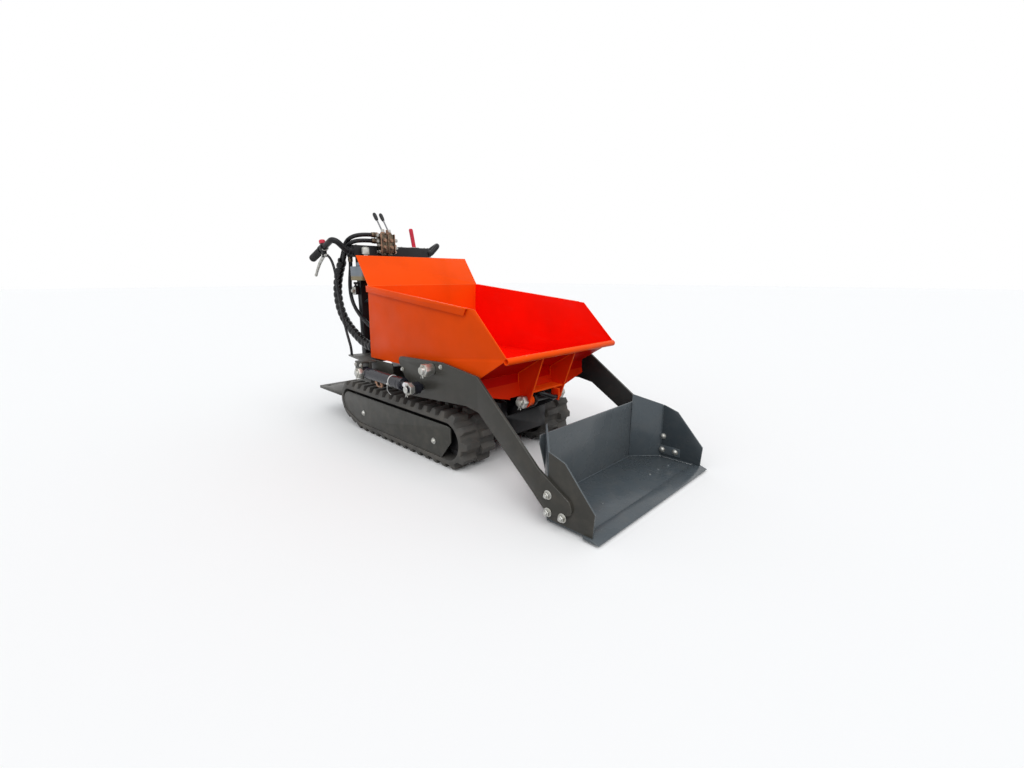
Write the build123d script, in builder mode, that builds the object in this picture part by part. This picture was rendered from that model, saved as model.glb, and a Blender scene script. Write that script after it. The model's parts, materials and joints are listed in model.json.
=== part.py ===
# Tracked walk-behind site dumper with a tipping skip and a self-loading front shovel.
# Millimetres. X runs forward to the shovel, Y to the machine's left, Z up from the ground.
import math
import os

from build123d import *

os.makedirs("parts", exist_ok=True)

SIDES = (("left", 1), ("right", -1))

# Clearances
SEAT = 0.3
SWING_GAP = 8.0

# Tracks
TRACK_WIDTH = 180.0
TRACK_OUTER = 345.0
LUG_HEIGHT = 22.0
LUG_PITCH = 60.0
LUG_BASE = 38.0
LUG_FLANK = 74.0
LUG_ROOT = 3.0
LUG_CHANNEL = 20.0
BELT = 18.0
IDLER_X = 210.0
IDLER_R = 82.0
SPROCKET_X = -623.0
SPROCKET_R = 65.0
SPROCKET_TEETH = 9
TOOTH_H = 12.0
TOOTH_W = 18.0
WHEEL_DISH = 14.0
WHEEL_RIM = 22.0
WHEEL_HUB_D = 64.0
REAR_ROLLER_X = -522.0
REAR_ROLLER_R = 45.0
ROLLER_R = 40.0
ROLLER_COUNT = 4
ROLLER_PITCH = 150.0
BEAM_PLATE = 10.0
BEAM_WIDTH = 80.0
BEAM_TOP = 190.0
BEAM_BOTTOM = 70.0
AXLE_D = 30.0
COVER_PLATE = 6.0
COVER_INSET = 2.0
COVER_GAP = 3.0
COVER_FRONT = 240.0
COVER_CHAMFER = 65.0
COVER_BOLTS = ((-474.0, 101.0), (124.0, 102.0))

TRACK_INNER = TRACK_OUTER - TRACK_WIDTH
TRACK_MID = TRACK_OUTER - TRACK_WIDTH / 2
BELT_IN_Z = LUG_HEIGHT + BELT
IDLER_Z = BELT_IN_Z + IDLER_R
BELT_TOP_Z = IDLER_Z + IDLER_R
SPROCKET_Z = BELT_TOP_Z - SPROCKET_R
REAR_ROLLER_Z = BELT_IN_Z + REAR_ROLLER_R
LOOP_WHEELS = (
    (IDLER_X, IDLER_Z, IDLER_R),
    (SPROCKET_X, SPROCKET_Z, SPROCKET_R),
    (REAR_ROLLER_X, REAR_ROLLER_Z, REAR_ROLLER_R),
)
BEAM_INNER = TRACK_MID - BEAM_WIDTH / 2
BEAM_OUTER = TRACK_MID + BEAM_WIDTH / 2
COVER_IN = TRACK_OUTER - COVER_INSET - COVER_PLATE

# Chassis between and above the tracks
RAIL_GAP = 30.0
RAIL_W = 40.0
RAIL_BOTTOM = 195.0
RAIL_H = 70.0
RAIL_FRONT = 320.0
RAIL_REAR = -600.0
NOSE_L = 40.0
NOSE_BOTTOM = 105.0
NOSE_TOP = 200.0
CHASSIS_GAP = 7.0
GEARBOX_HALF = 95.0
BRACKET_SLOT_GAP = 2.0
CROSS_TUBE = 55.0
CROSS_TUBE_XS = (-420.0, 60.0)
RAIL_TOP = RAIL_BOTTOM + RAIL_H
RAIL_OUT = TRACK_INNER - RAIL_GAP
RAIL_IN = RAIL_OUT - RAIL_W
CHASSIS_HALF = TRACK_INNER - CHASSIS_GAP

# Skip
SKIP_HALF = 336.0
SKIP_WALL = 4.0
SKIP_BOTTOM = 403.0
SKIP_REAR_X = -372.0
KINK = (-357.0, 743.0)
REAR_TOP = (-454.0, 883.0)
SIDE_FRONT = (393.0, 668.0)
LIP = (560.0, 504.0)
LIP_TUBE_D = 25.0
LIP_TUBE_BORE = 19.0
FLOOR_FRONT_X = 395.0
SIDE_LIP_OUT = 11.0
SIDE_LIP_H = 28.0
SIDE_LIP_SHEET = 3.0
SIDE_LIP_STOP = 36.0
HINGE = (430.0, 288.0)
HINGE_PIN_D = 30.0
RIB_IN = 97.0
RIB = 8.0
RIB_TOP_X = 528.0
RIB_EAR_R = 27.0
RIB_BOSS_L = 29.0
APRON_CREASE_Z = 365.0
APRON_FLARE = 20.0
APRON_SIDE_Z = 343.0
CROSS_PLATE = 6.0
CROSS_PLATE_X = 465.0
CROSS_PLATE_Z = 327.0
BRACKET_IN = 52.0
BRACKET = 12.0
HOSE_TAB = 6.0
HOSE_TAB_GAP = 6.0

# Loader
PIVOT = (161.0, 422.0)
LIFT_PIN = (85.0, 336.0)
SKIP_ARM_GAP = 17.0
ARM_TRACK_GAP = 8.0
ARM = 10.0
ARM_ROUND = 20.0
ARM_BEND_X = 430.0
ARM_FLAT_X = 760.0
PIN_D = 30.0
SHOVEL_HALF = 388.0
SHOVEL_WALL = 6.0
WING_STEP = 100.0
SHOVEL_BACK_X = 700.0
SHOVEL_BOTTOM = 8.0
SHOVEL_FOLD = (796.0, 248.0)
SHOVEL_KINK = (861.0, 227.0)
SHOVEL_TIP = (977.0, 98.0)
SHOVEL_TOE_X = 972.0
WING_TOP = 297.0
BACK_TOP = 262.0
EAR_OUT = 34.0
EAR_LOW = 120.0
EDGE_OVERHANG = 7.0
EDGE_L = 60.0
EDGE_H = 10.0
EDGE_FRONT = 1000.0

ARM_IN = max(SKIP_HALF + SKIP_ARM_GAP, TRACK_OUTER + ARM_TRACK_GAP)
SHOVEL_BACK_HALF = SHOVEL_HALF - WING_STEP
EDGE_HALF = SHOVEL_HALF + EDGE_OVERHANG

# Hydraulic cylinders
LIFT_ANCHOR = (-335.0, 343.0)
LIFT_GAP = 4.0
LIFT_BARREL_D = 56.0
LIFT_ROD_D = 30.0
LIFT_BARREL_L = 330.0
LIFT_ROD_IN = 80.0
TIP_ANCHOR = (-80.0, 150.0)
TIP_PIN = (285.0, 343.0)
TIP_BARREL_D = 56.0
TIP_BARREL_L = 320.0
TIP_ROD_D = 30.0
TIP_ROD_IN = 70.0
EYE_D = 52.0
EYE_W = 30.0
EYE_BORE_D = PIN_D + 2 * SEAT
TIP_LUG_GAP = 8.0
TIP_LUG = 8.0
NUT_ACROSS = 46.0
NUT_H = 24.0
PIN_COLLAR = 20.0
PIN_PROUD = 12.0
PIN_PLAY = 1.0

LIFT_Y = ARM_IN + ARM + LIFT_GAP + LIFT_BARREL_D / 2

# Engine
DECK_T = 10.0
DECK_REAR = -650.0
DECK_FRONT = -385.0
DECK_HALF = 170.0
CASE_X = (-590.0, -440.0)
CASE_HALF = 95.0
CASE_H = 145.0
CASE_CHAMFER = 14.0
HEAD_X = (-575.0, -475.0)
HEAD_HALF = 50.0
HEAD_H = 90.0
FIN_COUNT = 6
FIN_T = 5.0
FIN_PITCH = 11.0
FIN_OUT = 10.0
SHROUD_D = 210.0
SHROUD_L = 42.0
RECOIL_D = 150.0
RECOIL_L = 18.0
FUEL_X = (-600.0, -440.0)
FUEL_HALF = 120.0
FUEL_H = 88.0
FUEL_ROUND = 18.0
CAP_D = 55.0
CAP_H = 20.0
SIDE_BOX_X = (-580.0, -470.0)
SIDE_BOX_W = 66.0
SIDE_BOX_H = 72.0
SIDE_BOX_ROUND = 14.0
FLANGE = 4.0
TAILPIPE_D = 24.0
TAILPIPE_L = 26.0

# Controls
COLUMN_X = -680.0
COLUMN_TUBE = 40.0
COLUMN_Y = 190.0
COLUMN_BRACE_Z = 690.0
CONSOLE_OVERHANG = 45.0
CONSOLE_X = (-740.0, -660.0)
CONSOLE_H = 60.0
CONSOLE_TOP = 945.0
CONSOLE_ROUND = 8.0
OIL_L = 120.0
OIL_IN = 25.0
OIL_OUT = 75.0
OIL_H = 70.0
OIL_BOTTOM = 765.0
OIL_ROUND = 8.0
VALVE_L = 45.0
VALVE_Y = (-100.0, -12.0)
VALVE_DROP = 48.0
VALVE_H = 118.0
PORT_L = 18.0
PORT_D = 26.0
LEVER_YS = (-74.0, -36.0)
LEVER_D = 9.0
LEVER_LEAN = (-79.0, 103.0)
KNOB_D = 17.0
KNOB_L = 45.0
DRIVE_LEVER_Y = 147.0
DRIVE_LEVER_W = 24.0
DRIVE_LEVER_T = 8.0
DRIVE_LEVER_H = 104.0
DRIVE_LEVER_LEAN = 18.0
HANDLE_D = 30.0
HANDLE_Y = 330.0
GRIP_D = 40.0
GRIP_FRONT = (-826.0, 923.0)
GRIP_REAR = (-948.0, 880.0)
PERCH_X = -802.0
PERCH_L = 24.0
PERCH_D = 46.0
PERCH_DROP = 40.0
HAND_LEVER_D = 12.0
HAND_LEVER_REACH = (-123.0, -103.0)
RED_KNOB_D = 22.0
RED_KNOB_H = 16.0
STEP_REAR = -1000.0
STEP_FRONT = -735.0
STEP_TOP = 160.0
STEP_T = 15.0
STEP_HALF = 335.0
STEP_HOLE_D = 22.0
STEP_HOLE_EDGE = 40.0

# Hoses and cables, routes chosen by eye
BEND_SHARE = 0.45
GUARD_D = 42.0
HOSE_D = 18.0
CABLE_D = 10.0
HINGE_HOSE_D = 14.0
HOSE_SPREAD = 10.5
GUARD_ROUTE = (
    (-765.0, -250.0, 868.0),
    (-808.0, -250.0, 813.0),
    (-839.0, -250.5, 750.0),
    (-849.0, -251.0, 681.0),
    (-832.0, -251.0, 613.0),
    (-791.0, -250.5, 556.0),
    (-736.0, -249.0, 513.0),
    (-676.0, -246.0, 477.0),
    (-613.0, -242.0, 444.0),
    (-547.0, -240.0, 426.0),
    (-480.0 - SEAT, -240.0, 426.0),
)
VALVE_ROUTES = (
    (
        (-640.0, -118.0, 998.0),
        (-640.0, -156.0, 998.0),
        (-645.0, -193.0, 996.0),
        (-660.0, -224.0, 990.0),
        (-684.0, -244.0, 977.0),
        (-711.0, -251.0, 957.0),
        (-733.0, -252.0, 930.0),
    ),
    (
        (-640.0, -118.0, 968.0),
        (-640.0, -152.0, 968.0),
        (-644.0, -186.0, 967.5),
        (-656.0, -217.0, 965.0),
        (-676.0, -239.0, 957.0),
        (-699.0, -250.0, 940.0),
        (-718.0, -253.0, 916.0),
    ),
)
FEED_ROUTE = (
    (-730.0, -222.0, 885.0 - SEAT),
    (-730.0, -222.0, 843.0),
    (-742.0, -223.0, 795.0),
    (-752.0, -224.0, 745.0),
    (-750.0, -225.0, 694.0),
    (-731.0, -226.0, 648.0),
    (-695.0, -227.0, 609.0),
    (-650.0, -227.0, 577.0),
    (-598.0, -226.0, 549.0),
    (-540.0, -222.0, 518.0),
    (-480.0 - SEAT, -222.0, 518.0),
)
CABLE_ROUTE = (
    (-790.0 + SEAT, 330.0, 892.0),
    (-762.0, 330.0, 892.0),
    (-734.0, 330.0, 877.0),
    (-710.0, 330.0, 850.0),
    (-692.0, 331.0, 813.0),
    (-680.0, 332.0, 766.0),
    (-668.0, 334.0, 713.0),
    (-652.0, 336.0, 656.0),
    (-632.0, 338.0, 596.0),
    (-606.0, 340.0, 529.0),
    (-578.0, 342.0, 472.0),
    (-553.0, 344.0, 430.0),
    (-553.0, 344.0, 395.0 + SEAT),
)
HINGE_HOSE_ROUTE = (
    (406.0 + SEAT, -38.0, 316.0),
    (428.0, -38.0, 316.0),
    (449.0, -31.0, 315.0),
    (466.0, -17.0, 309.0),
    (476.0, 1.0, 300.0),
    (478.0, 21.0, 291.0),
    (478.0, 40.0 - SEAT, 291.0),
)

DECK_TOP = RAIL_TOP + DECK_T
CONSOLE_HALF = COLUMN_Y + CONSOLE_OVERHANG


def keep(piece, name):
    """Label a finished piece and write it as its own file."""
    piece.part.label = name
    export_step(piece.part, f"parts/{name}.step")


def side_plate(outline, sign, inner, thickness):
    """Flat plate of an XZ outline, from |y| = inner outward by its thickness."""
    with BuildPart() as plate:
        with BuildSketch(Plane.XZ.offset(-sign * inner)):
            with BuildLine():
                Polyline(*outline, close=True)
            make_face()
        extrude(amount=-sign * thickness)
    return plate


def block(x, y, z, mode=Mode.ADD):
    """Box between its lowest and highest X, Y and Z."""
    middle = [(a + b) / 2 for a, b in (x, y, z)]
    size = [b - a for a, b in (x, y, z)]
    with Locations(tuple(middle)):
        Box(*size, mode=mode)


def side_block(sign, x, y, z, mode=Mode.ADD):
    """Box given by its distances from the machine's middle plane."""
    block(x, sorted((sign * y[0], sign * y[1])), z, mode)


def rod_y(x, z, y0, y1, diameter, mode=Mode.ADD):
    """Round bar across the machine between two Y places."""
    with Locations((x, (y0 + y1) / 2, z)):
        Cylinder(diameter / 2, abs(y1 - y0), rotation=(90, 0, 0), mode=mode)


def bar(start, end, diameter, mode=Mode.ADD):
    """Round bar between two points."""
    run = Vector(*end) - Vector(*start)
    with Locations(Plane(origin=start, z_dir=run)):
        Cylinder(diameter / 2, run.length, align=(Align.CENTER, Align.CENTER, Align.MIN), mode=mode)


def hex_nut(x, z, y0, y1):
    """Hexagon nut across the machine between two Y places."""
    with BuildPart() as nut:
        with BuildSketch(Plane.XZ.offset(-y0)):
            with Locations((x, z)):
                RegularPolygon(NUT_ACROSS / 2, 6, major_radius=False)
        extrude(amount=y0 - y1)
    return nut.part


def loop_sketch(growth):
    """Outline of the belt round its three end wheels, grown outward."""
    for x, z, r in LOOP_WHEELS:
        with Locations((x, z)):
            Circle(r + growth)
    make_hull()


def lug_places(shift):
    """Place and turn of each lug on the belt, shifted by a share of the pitch."""
    with BuildSketch() as outline:
        loop_sketch(BELT - LUG_ROOT)
    path = outline.sketch.faces()[0].outer_wire()
    count = round(path.length / LUG_PITCH)
    middle = Vector((IDLER_X + SPROCKET_X) / 2, IDLER_Z)
    places = []
    for index in range(count):
        share = (index + shift) / count
        spot = path @ share
        heading = path % share
        turn = math.degrees(math.atan2(heading.Y, heading.X))
        points_out = Vector(-heading.Y, heading.X).dot(spot - middle) > 0
        places.append((spot.X, spot.Y, turn if points_out else turn + 180))
    return places


# Tracks and what runs inside them
lug_row = (TRACK_WIDTH - LUG_CHANNEL) / 2
for side, sign in SIDES:
    with BuildPart() as track:
        with BuildSketch(Plane.XZ.offset(-sign * TRACK_INNER)):
            loop_sketch(BELT)
        extrude(amount=-sign * TRACK_WIDTH)
        for inner, shift in ((TRACK_INNER, 0.0), (TRACK_OUTER - lug_row, 0.5)):
            with BuildSketch(Plane.XZ.offset(-sign * inner)):
                for lug_x, lug_z, turn in lug_places(shift):
                    with Locations(Location((lug_x, lug_z, 0), (0, 0, turn))):
                        Trapezoid(LUG_BASE, LUG_HEIGHT + LUG_ROOT, LUG_FLANK, align=(Align.CENTER, Align.MIN))
            extrude(amount=-sign * lug_row)
        with BuildSketch(Plane.XZ.offset(-sign * TRACK_INNER)):
            loop_sketch(0)
        extrude(amount=-sign * TRACK_WIDTH, mode=Mode.SUBTRACT)
    keep(track, f"track_{side}")

    beam_front = IDLER_X + AXLE_D
    web_front = IDLER_X - IDLER_R - SWING_GAP
    web_rear = SPROCKET_X + SPROCKET_R + SWING_GAP
    beam_rear = SPROCKET_X + AXLE_D + BEAM_PLATE
    inner_plate = (BEAM_INNER, BEAM_INNER + BEAM_PLATE)
    outer_plate = (BEAM_OUTER - BEAM_PLATE, BEAM_OUTER)
    wheel_in = inner_plate[1] + SEAT
    wheel_out = outer_plate[0] - SEAT
    wheel_w = wheel_out - wheel_in
    with BuildPart() as beam:
        for plate in (inner_plate, outer_plate):
            side_block(sign, (beam_rear, beam_front), plate, (BEAM_BOTTOM, BEAM_TOP))
        side_block(sign, (web_rear, web_front), (BEAM_INNER, BEAM_OUTER), (BEAM_TOP - BEAM_PLATE, BEAM_TOP))
        rod_y(IDLER_X, IDLER_Z, sign * BEAM_INNER, sign * BEAM_OUTER, AXLE_D)
    keep(beam, f"track_beam_{side}")

    with BuildPart() as wheels:
        rod_y(IDLER_X, IDLER_Z, sign * wheel_in, sign * wheel_out, 2 * (IDLER_R - SEAT))
        for face in (wheel_in, wheel_out - WHEEL_DISH):
            with BuildSketch(Plane.XZ.offset(-sign * face)):
                with Locations((IDLER_X, IDLER_Z)):
                    Circle(IDLER_R - WHEEL_RIM)
                    Circle(WHEEL_HUB_D / 2, mode=Mode.SUBTRACT)
            extrude(amount=-sign * WHEEL_DISH, mode=Mode.SUBTRACT)
        rod_y(IDLER_X, IDLER_Z, sign * wheel_in, sign * wheel_out, AXLE_D + 2 * SEAT, Mode.SUBTRACT)
        with BuildSketch(Plane.XZ.offset(-sign * wheel_in)):
            with Locations((SPROCKET_X, SPROCKET_Z)):
                Circle(SPROCKET_R - TOOTH_H)
                with PolarLocations(SPROCKET_R - TOOTH_H - SEAT, SPROCKET_TEETH):
                    Rectangle(2 * TOOTH_H, TOOTH_W)
                Circle(SPROCKET_R - SEAT, mode=Mode.INTERSECT)
                Circle(AXLE_D / 2 + SEAT, mode=Mode.SUBTRACT)
        extrude(amount=-sign * wheel_w)
        rod_y(REAR_ROLLER_X, REAR_ROLLER_Z, sign * wheel_in, sign * wheel_out, 2 * (REAR_ROLLER_R - SEAT))
        for count in range(1, ROLLER_COUNT + 1):
            roller_x = REAR_ROLLER_X + count * ROLLER_PITCH
            roller_z = BELT_IN_Z + ROLLER_R
            rod_y(roller_x, roller_z, sign * wheel_in, sign * wheel_out, 2 * (ROLLER_R - SEAT))
    keep(wheels, f"track_wheels_{side}")

    cover_low = BELT_IN_Z + COVER_GAP
    cover_limits = (
        (COVER_FRONT, BELT_TOP_Z),
        (COVER_FRONT, IDLER_Z),
        (COVER_FRONT - COVER_CHAMFER, cover_low),
        (SPROCKET_X - SPROCKET_R, cover_low),
        (SPROCKET_X - SPROCKET_R, BELT_TOP_Z),
    )
    with BuildPart() as cover:
        with BuildSketch(Plane.XZ.offset(-sign * COVER_IN)):
            loop_sketch(-COVER_GAP)
            with BuildLine():
                Polyline(*cover_limits, close=True)
            make_face(mode=Mode.INTERSECT)
        extrude(amount=-sign * COVER_PLATE)
        for bolt_x, bolt_z in COVER_BOLTS:
            rod_y(bolt_x, bolt_z, sign * BEAM_OUTER, sign * COVER_IN, AXLE_D)
    keep(cover, f"track_cover_{side}")

# Chassis, with the lugs that carry the tip cylinder
tip_lug_in = EYE_W / 2 + TIP_LUG_GAP
with BuildPart() as frame:
    nose_x = (RAIL_FRONT - NOSE_L, RAIL_FRONT)
    slot_x = (nose_x[0] - BRACKET_SLOT_GAP, RAIL_FRONT)
    slot_y = (BRACKET_IN - BRACKET_SLOT_GAP, BRACKET_IN + BRACKET + BRACKET_SLOT_GAP)
    for sign in (1, -1):
        side_block(sign, (RAIL_REAR, RAIL_FRONT), (RAIL_IN, RAIL_OUT), (RAIL_BOTTOM, RAIL_TOP))
        side_block(sign, slot_x, slot_y, (NOSE_TOP, RAIL_TOP), Mode.SUBTRACT)
    block(nose_x, (-CHASSIS_HALF, CHASSIS_HALF), (NOSE_BOTTOM, NOSE_TOP))
    block((RAIL_REAR, RAIL_REAR + NOSE_L), (-CHASSIS_HALF, CHASSIS_HALF), (RAIL_BOTTOM, RAIL_TOP))
    for sign in (1, -1):
        for tube_x in CROSS_TUBE_XS:
            tube_span = (tube_x - CROSS_TUBE / 2, tube_x + CROSS_TUBE / 2)
            tube_z = (RAIL_BOTTOM - CROSS_TUBE, RAIL_BOTTOM)
            side_block(sign, tube_span, (RAIL_IN, BEAM_INNER), tube_z)
        side_block(
            sign,
            (TIP_ANCHOR[0] - EYE_D / 2, TIP_ANCHOR[0] + EYE_D / 2),
            (tip_lug_in + TIP_LUG, RAIL_IN),
            (TIP_ANCHOR[1] - EYE_D / 2, RAIL_BOTTOM + EYE_D / 2),
        )
    rod_y(*TIP_ANCHOR, -RAIL_IN, RAIL_IN, PIN_D)
keep(frame, "chassis_frame")

gearbox_x = (SPROCKET_X - SPROCKET_R, RAIL_REAR - SEAT)
with BuildPart() as gearbox:
    block(gearbox_x, (-GEARBOX_HALF, GEARBOX_HALF), (BEAM_BOTTOM, RAIL_TOP))
    chamfer(gearbox.edges().filter_by(Axis.Y), CASE_CHAMFER)
    axle_reach = TRACK_MID + BEAM_WIDTH / 4
    rod_y(SPROCKET_X, SPROCKET_Z, -axle_reach, axle_reach, AXLE_D)
keep(gearbox, "drive_gearbox")

with BuildPart() as deck:
    block((DECK_REAR, DECK_FRONT), (-DECK_HALF, DECK_HALF), (RAIL_TOP, DECK_TOP))
keep(deck, "engine_deck")

# Loader pivot frame over the tracks
PIVOT_PLATE = 8.0
PIVOT_PLATE_GAP = 4.5
PIVOT_PLATE_OUT = ARM_IN - PIVOT_PLATE_GAP
PIVOT_BEAM_H = 45.0
PIVOT_BEAM_L = 60.0
PIVOT_BEAM_TOP = SKIP_BOTTOM - 2 * SWING_GAP
with BuildPart() as pivot_frame:
    beam_x = (PIVOT[0] - PIVOT_BEAM_L / 2, PIVOT[0] + PIVOT_BEAM_L / 2)
    beam_low = PIVOT_BEAM_TOP - PIVOT_BEAM_H
    block(beam_x, (-PIVOT_PLATE_OUT, PIVOT_PLATE_OUT), (beam_low, PIVOT_BEAM_TOP))
    collar_out = ARM_IN + ARM + PIN_PLAY + PIN_COLLAR
    for sign in (1, -1):
        side_block(sign, beam_x, (RAIL_IN, RAIL_OUT), (RAIL_TOP, beam_low))
        plate_y = (PIVOT_PLATE_OUT - PIVOT_PLATE, PIVOT_PLATE_OUT)
        side_block(sign, beam_x, plate_y, (beam_low, PIVOT[1]))
        rod_y(*PIVOT, sign * plate_y[0], sign * plate_y[1], PIVOT_BEAM_L)
        rod_y(*PIVOT, sign * plate_y[0], sign * (collar_out + NUT_H + PIN_PROUD), PIN_D)
        rod_y(*PIVOT, sign * (ARM_IN + ARM + PIN_PLAY), sign * collar_out, NUT_ACROSS)
        add(hex_nut(*PIVOT, sign * collar_out, sign * (collar_out + NUT_H)))
keep(pivot_frame, "loader_pivot_frame")

# Rear beam that anchors the lift cylinders, with its side plates and the hose block
ANCHOR_PLATE = 10.0
SHELF_PLATE = 8.0
SHELF_TOP = SKIP_BOTTOM - SWING_GAP
SHELF_IN = 150.0
SHELF_REAR_X = -395.0
SHELF_POINT = (-574.0, 352.0)
SHELF_INNER_X = -520.0
HOSE_BLOCK_X = (-480.0, -430.0)
HOSE_BLOCK_Y = (-275.0, -200.0)
HOSE_BLOCK_H = 135.0
anchor_out = LIFT_Y - EYE_W / 2 - SEAT
with BuildPart() as anchor:
    anchor_x = (LIFT_ANCHOR[0] - EYE_D / 2, LIFT_ANCHOR[0] + EYE_D / 2)
    beam_top = LIFT_ANCHOR[1]
    block(anchor_x, (-anchor_out, anchor_out), (beam_top - EYE_D, beam_top))
    for sign in (1, -1):
        side_block(sign, anchor_x, (RAIL_IN, RAIL_OUT), (RAIL_TOP, beam_top - EYE_D))
        side_block(
            sign,
            (SHELF_REAR_X, anchor_x[1]),
            (anchor_out - ANCHOR_PLATE, anchor_out),
            (beam_top - EYE_D, SHELF_TOP - SHELF_PLATE),
        )
        side_block(sign, anchor_x, (SHELF_IN, SHELF_IN + ANCHOR_PLATE), (beam_top, SHELF_TOP - SHELF_PLATE))
        shelf_outline = (
            (anchor_x[1], sign * SHELF_IN),
            (anchor_x[1], sign * anchor_out),
            (SHELF_REAR_X, sign * anchor_out),
            (SHELF_POINT[0], sign * SHELF_POINT[1]),
            (SHELF_INNER_X, sign * SHELF_IN),
        )
        with BuildSketch(Plane.XY.offset(SHELF_TOP - SHELF_PLATE)):
            with BuildLine():
                Polyline(*shelf_outline, close=True)
            make_face()
        extrude(amount=SHELF_PLATE)
        pin_out = LIFT_Y + EYE_W / 2 + PIN_PLAY
        rod_y(*LIFT_ANCHOR, sign * anchor_out, sign * (pin_out + NUT_H + PIN_PROUD / 2), PIN_D)
        add(hex_nut(*LIFT_ANCHOR, sign * pin_out, sign * (pin_out + NUT_H)))
    block(HOSE_BLOCK_X, HOSE_BLOCK_Y, (SHELF_TOP, SHELF_TOP + HOSE_BLOCK_H))
keep(anchor, "lift_anchor_beam")

# Skip hinge bracket and pin on the chassis nose
bracket_outline = (
    (RAIL_FRONT - NOSE_L, NOSE_TOP),
    (RAIL_FRONT, NOSE_TOP),
    (HINGE[0] + RIB_EAR_R / 2, HINGE[1] - RIB_EAR_R),
    (HINGE[0], HINGE[1] + RIB_EAR_R),
    (HINGE[0] - RIB_EAR_R, HINGE[1] + RIB_EAR_R / 2),
)
with BuildPart() as bracket:
    for sign in (1, -1):
        with BuildSketch(Plane.XZ.offset(-sign * BRACKET_IN)):
            with BuildLine():
                Polyline(*bracket_outline, close=True)
            make_face()
            with Locations(HINGE):
                Circle(RIB_EAR_R)
        extrude(amount=-sign * BRACKET)
        nut_in = RIB_IN + RIB + PIN_PLAY
        add(hex_nut(*HINGE, sign * nut_in, sign * (nut_in + NUT_H)))
    pin_half = nut_in + NUT_H + PIN_PROUD
    rod_y(*HINGE, -pin_half, pin_half, HINGE_PIN_D)
keep(bracket, "skip_hinge_bracket")

# Skip panels
front_slope = (LIP[1] - SKIP_BOTTOM) / (LIP[0] - FLOOR_FRONT_X)
top_slope = (SIDE_FRONT[1] - KINK[1]) / (SIDE_FRONT[0] - KINK[0])
lip_reach = Vector(LIP[0] - HINGE[0], LIP[1] - HINGE[1])
lip_sink = lip_reach.normalized() * (LIP_TUBE_D / 2 - SKIP_WALL)
lip_tube = (LIP[0] - lip_sink.X, LIP[1] - lip_sink.Y)
skip_in = SKIP_HALF - SKIP_WALL


def under_front(x):
    """Height of the sloping front panel's underside."""
    return SKIP_BOTTOM + (x - FLOOR_FRONT_X) * front_slope


def side_top(x):
    """Height of the side panel's top edge."""
    return KINK[1] + (x - KINK[0]) * top_slope


side_outline = (
    (SKIP_REAR_X, SKIP_BOTTOM),
    (FLOOR_FRONT_X, SKIP_BOTTOM),
    LIP,
    SIDE_FRONT,
    KINK,
)
lip_end = SIDE_FRONT[0] - SIDE_LIP_STOP
lip_top_outline = (
    KINK,
    (lip_end, side_top(lip_end)),
    (lip_end, side_top(lip_end) - SIDE_LIP_SHEET),
    (KINK[0], KINK[1] - SIDE_LIP_SHEET),
)
lip_face_outline = (
    KINK,
    (lip_end, side_top(lip_end)),
    (lip_end - SIDE_LIP_H / 2, side_top(lip_end) - SIDE_LIP_H),
    (KINK[0], KINK[1] - SIDE_LIP_H),
)
for side, sign in SIDES:
    with BuildPart() as panel:
        for outline, inner, thickness in (
            (side_outline, skip_in, SKIP_WALL),
            (lip_top_outline, SKIP_HALF, SIDE_LIP_OUT),
            (lip_face_outline, SKIP_HALF + SIDE_LIP_OUT - SIDE_LIP_SHEET, SIDE_LIP_SHEET),
        ):
            with BuildSketch(Plane.XZ.offset(-sign * inner)):
                with BuildLine():
                    Polyline(*outline, close=True)
                make_face()
            extrude(amount=-sign * thickness)
        tube_cut = LIP_TUBE_D + 2 * SEAT
        rod_y(*lip_tube, sign * (skip_in - SKIP_WALL), sign * (SKIP_HALF + SKIP_WALL), tube_cut, Mode.SUBTRACT)
    keep(panel, f"skip_side_{side}")

lug_outline = (
    (TIP_PIN[0] - EYE_D, SKIP_BOTTOM),
    (TIP_PIN[0] - EYE_D / 2, TIP_PIN[1] - EYE_D / 2),
    (TIP_PIN[0] + EYE_D / 2, TIP_PIN[1] - EYE_D / 2),
    (TIP_PIN[0] + EYE_D, SKIP_BOTTOM),
)
with BuildPart() as floor:
    floor_x = (SKIP_REAR_X + SKIP_WALL + SEAT, FLOOR_FRONT_X)
    block(floor_x, (-skip_in, skip_in), (SKIP_BOTTOM, SKIP_BOTTOM + SKIP_WALL))
    for sign in (1, -1):
        with BuildSketch(Plane.XZ.offset(-sign * tip_lug_in)):
            with BuildLine():
                Polyline(*lug_outline, close=True)
            make_face()
        extrude(amount=-sign * TIP_LUG)
keep(floor, "skip_floor")

front_outline = (
    (FLOOR_FRONT_X, SKIP_BOTTOM),
    LIP,
    (LIP[0], LIP[1] + SKIP_WALL),
    (FLOOR_FRONT_X, SKIP_BOTTOM + SKIP_WALL),
)
with BuildPart() as front:
    with BuildSketch(Plane.XZ):
        with BuildLine():
            Polyline(*front_outline, close=True)
        make_face()
    extrude(amount=skip_in, both=True)
    rod_y(*lip_tube, -SKIP_HALF, SKIP_HALF, LIP_TUBE_D)
    rod_y(*lip_tube, -SKIP_HALF, SKIP_HALF, LIP_TUBE_BORE, Mode.SUBTRACT)
keep(front, "skip_front")

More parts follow.
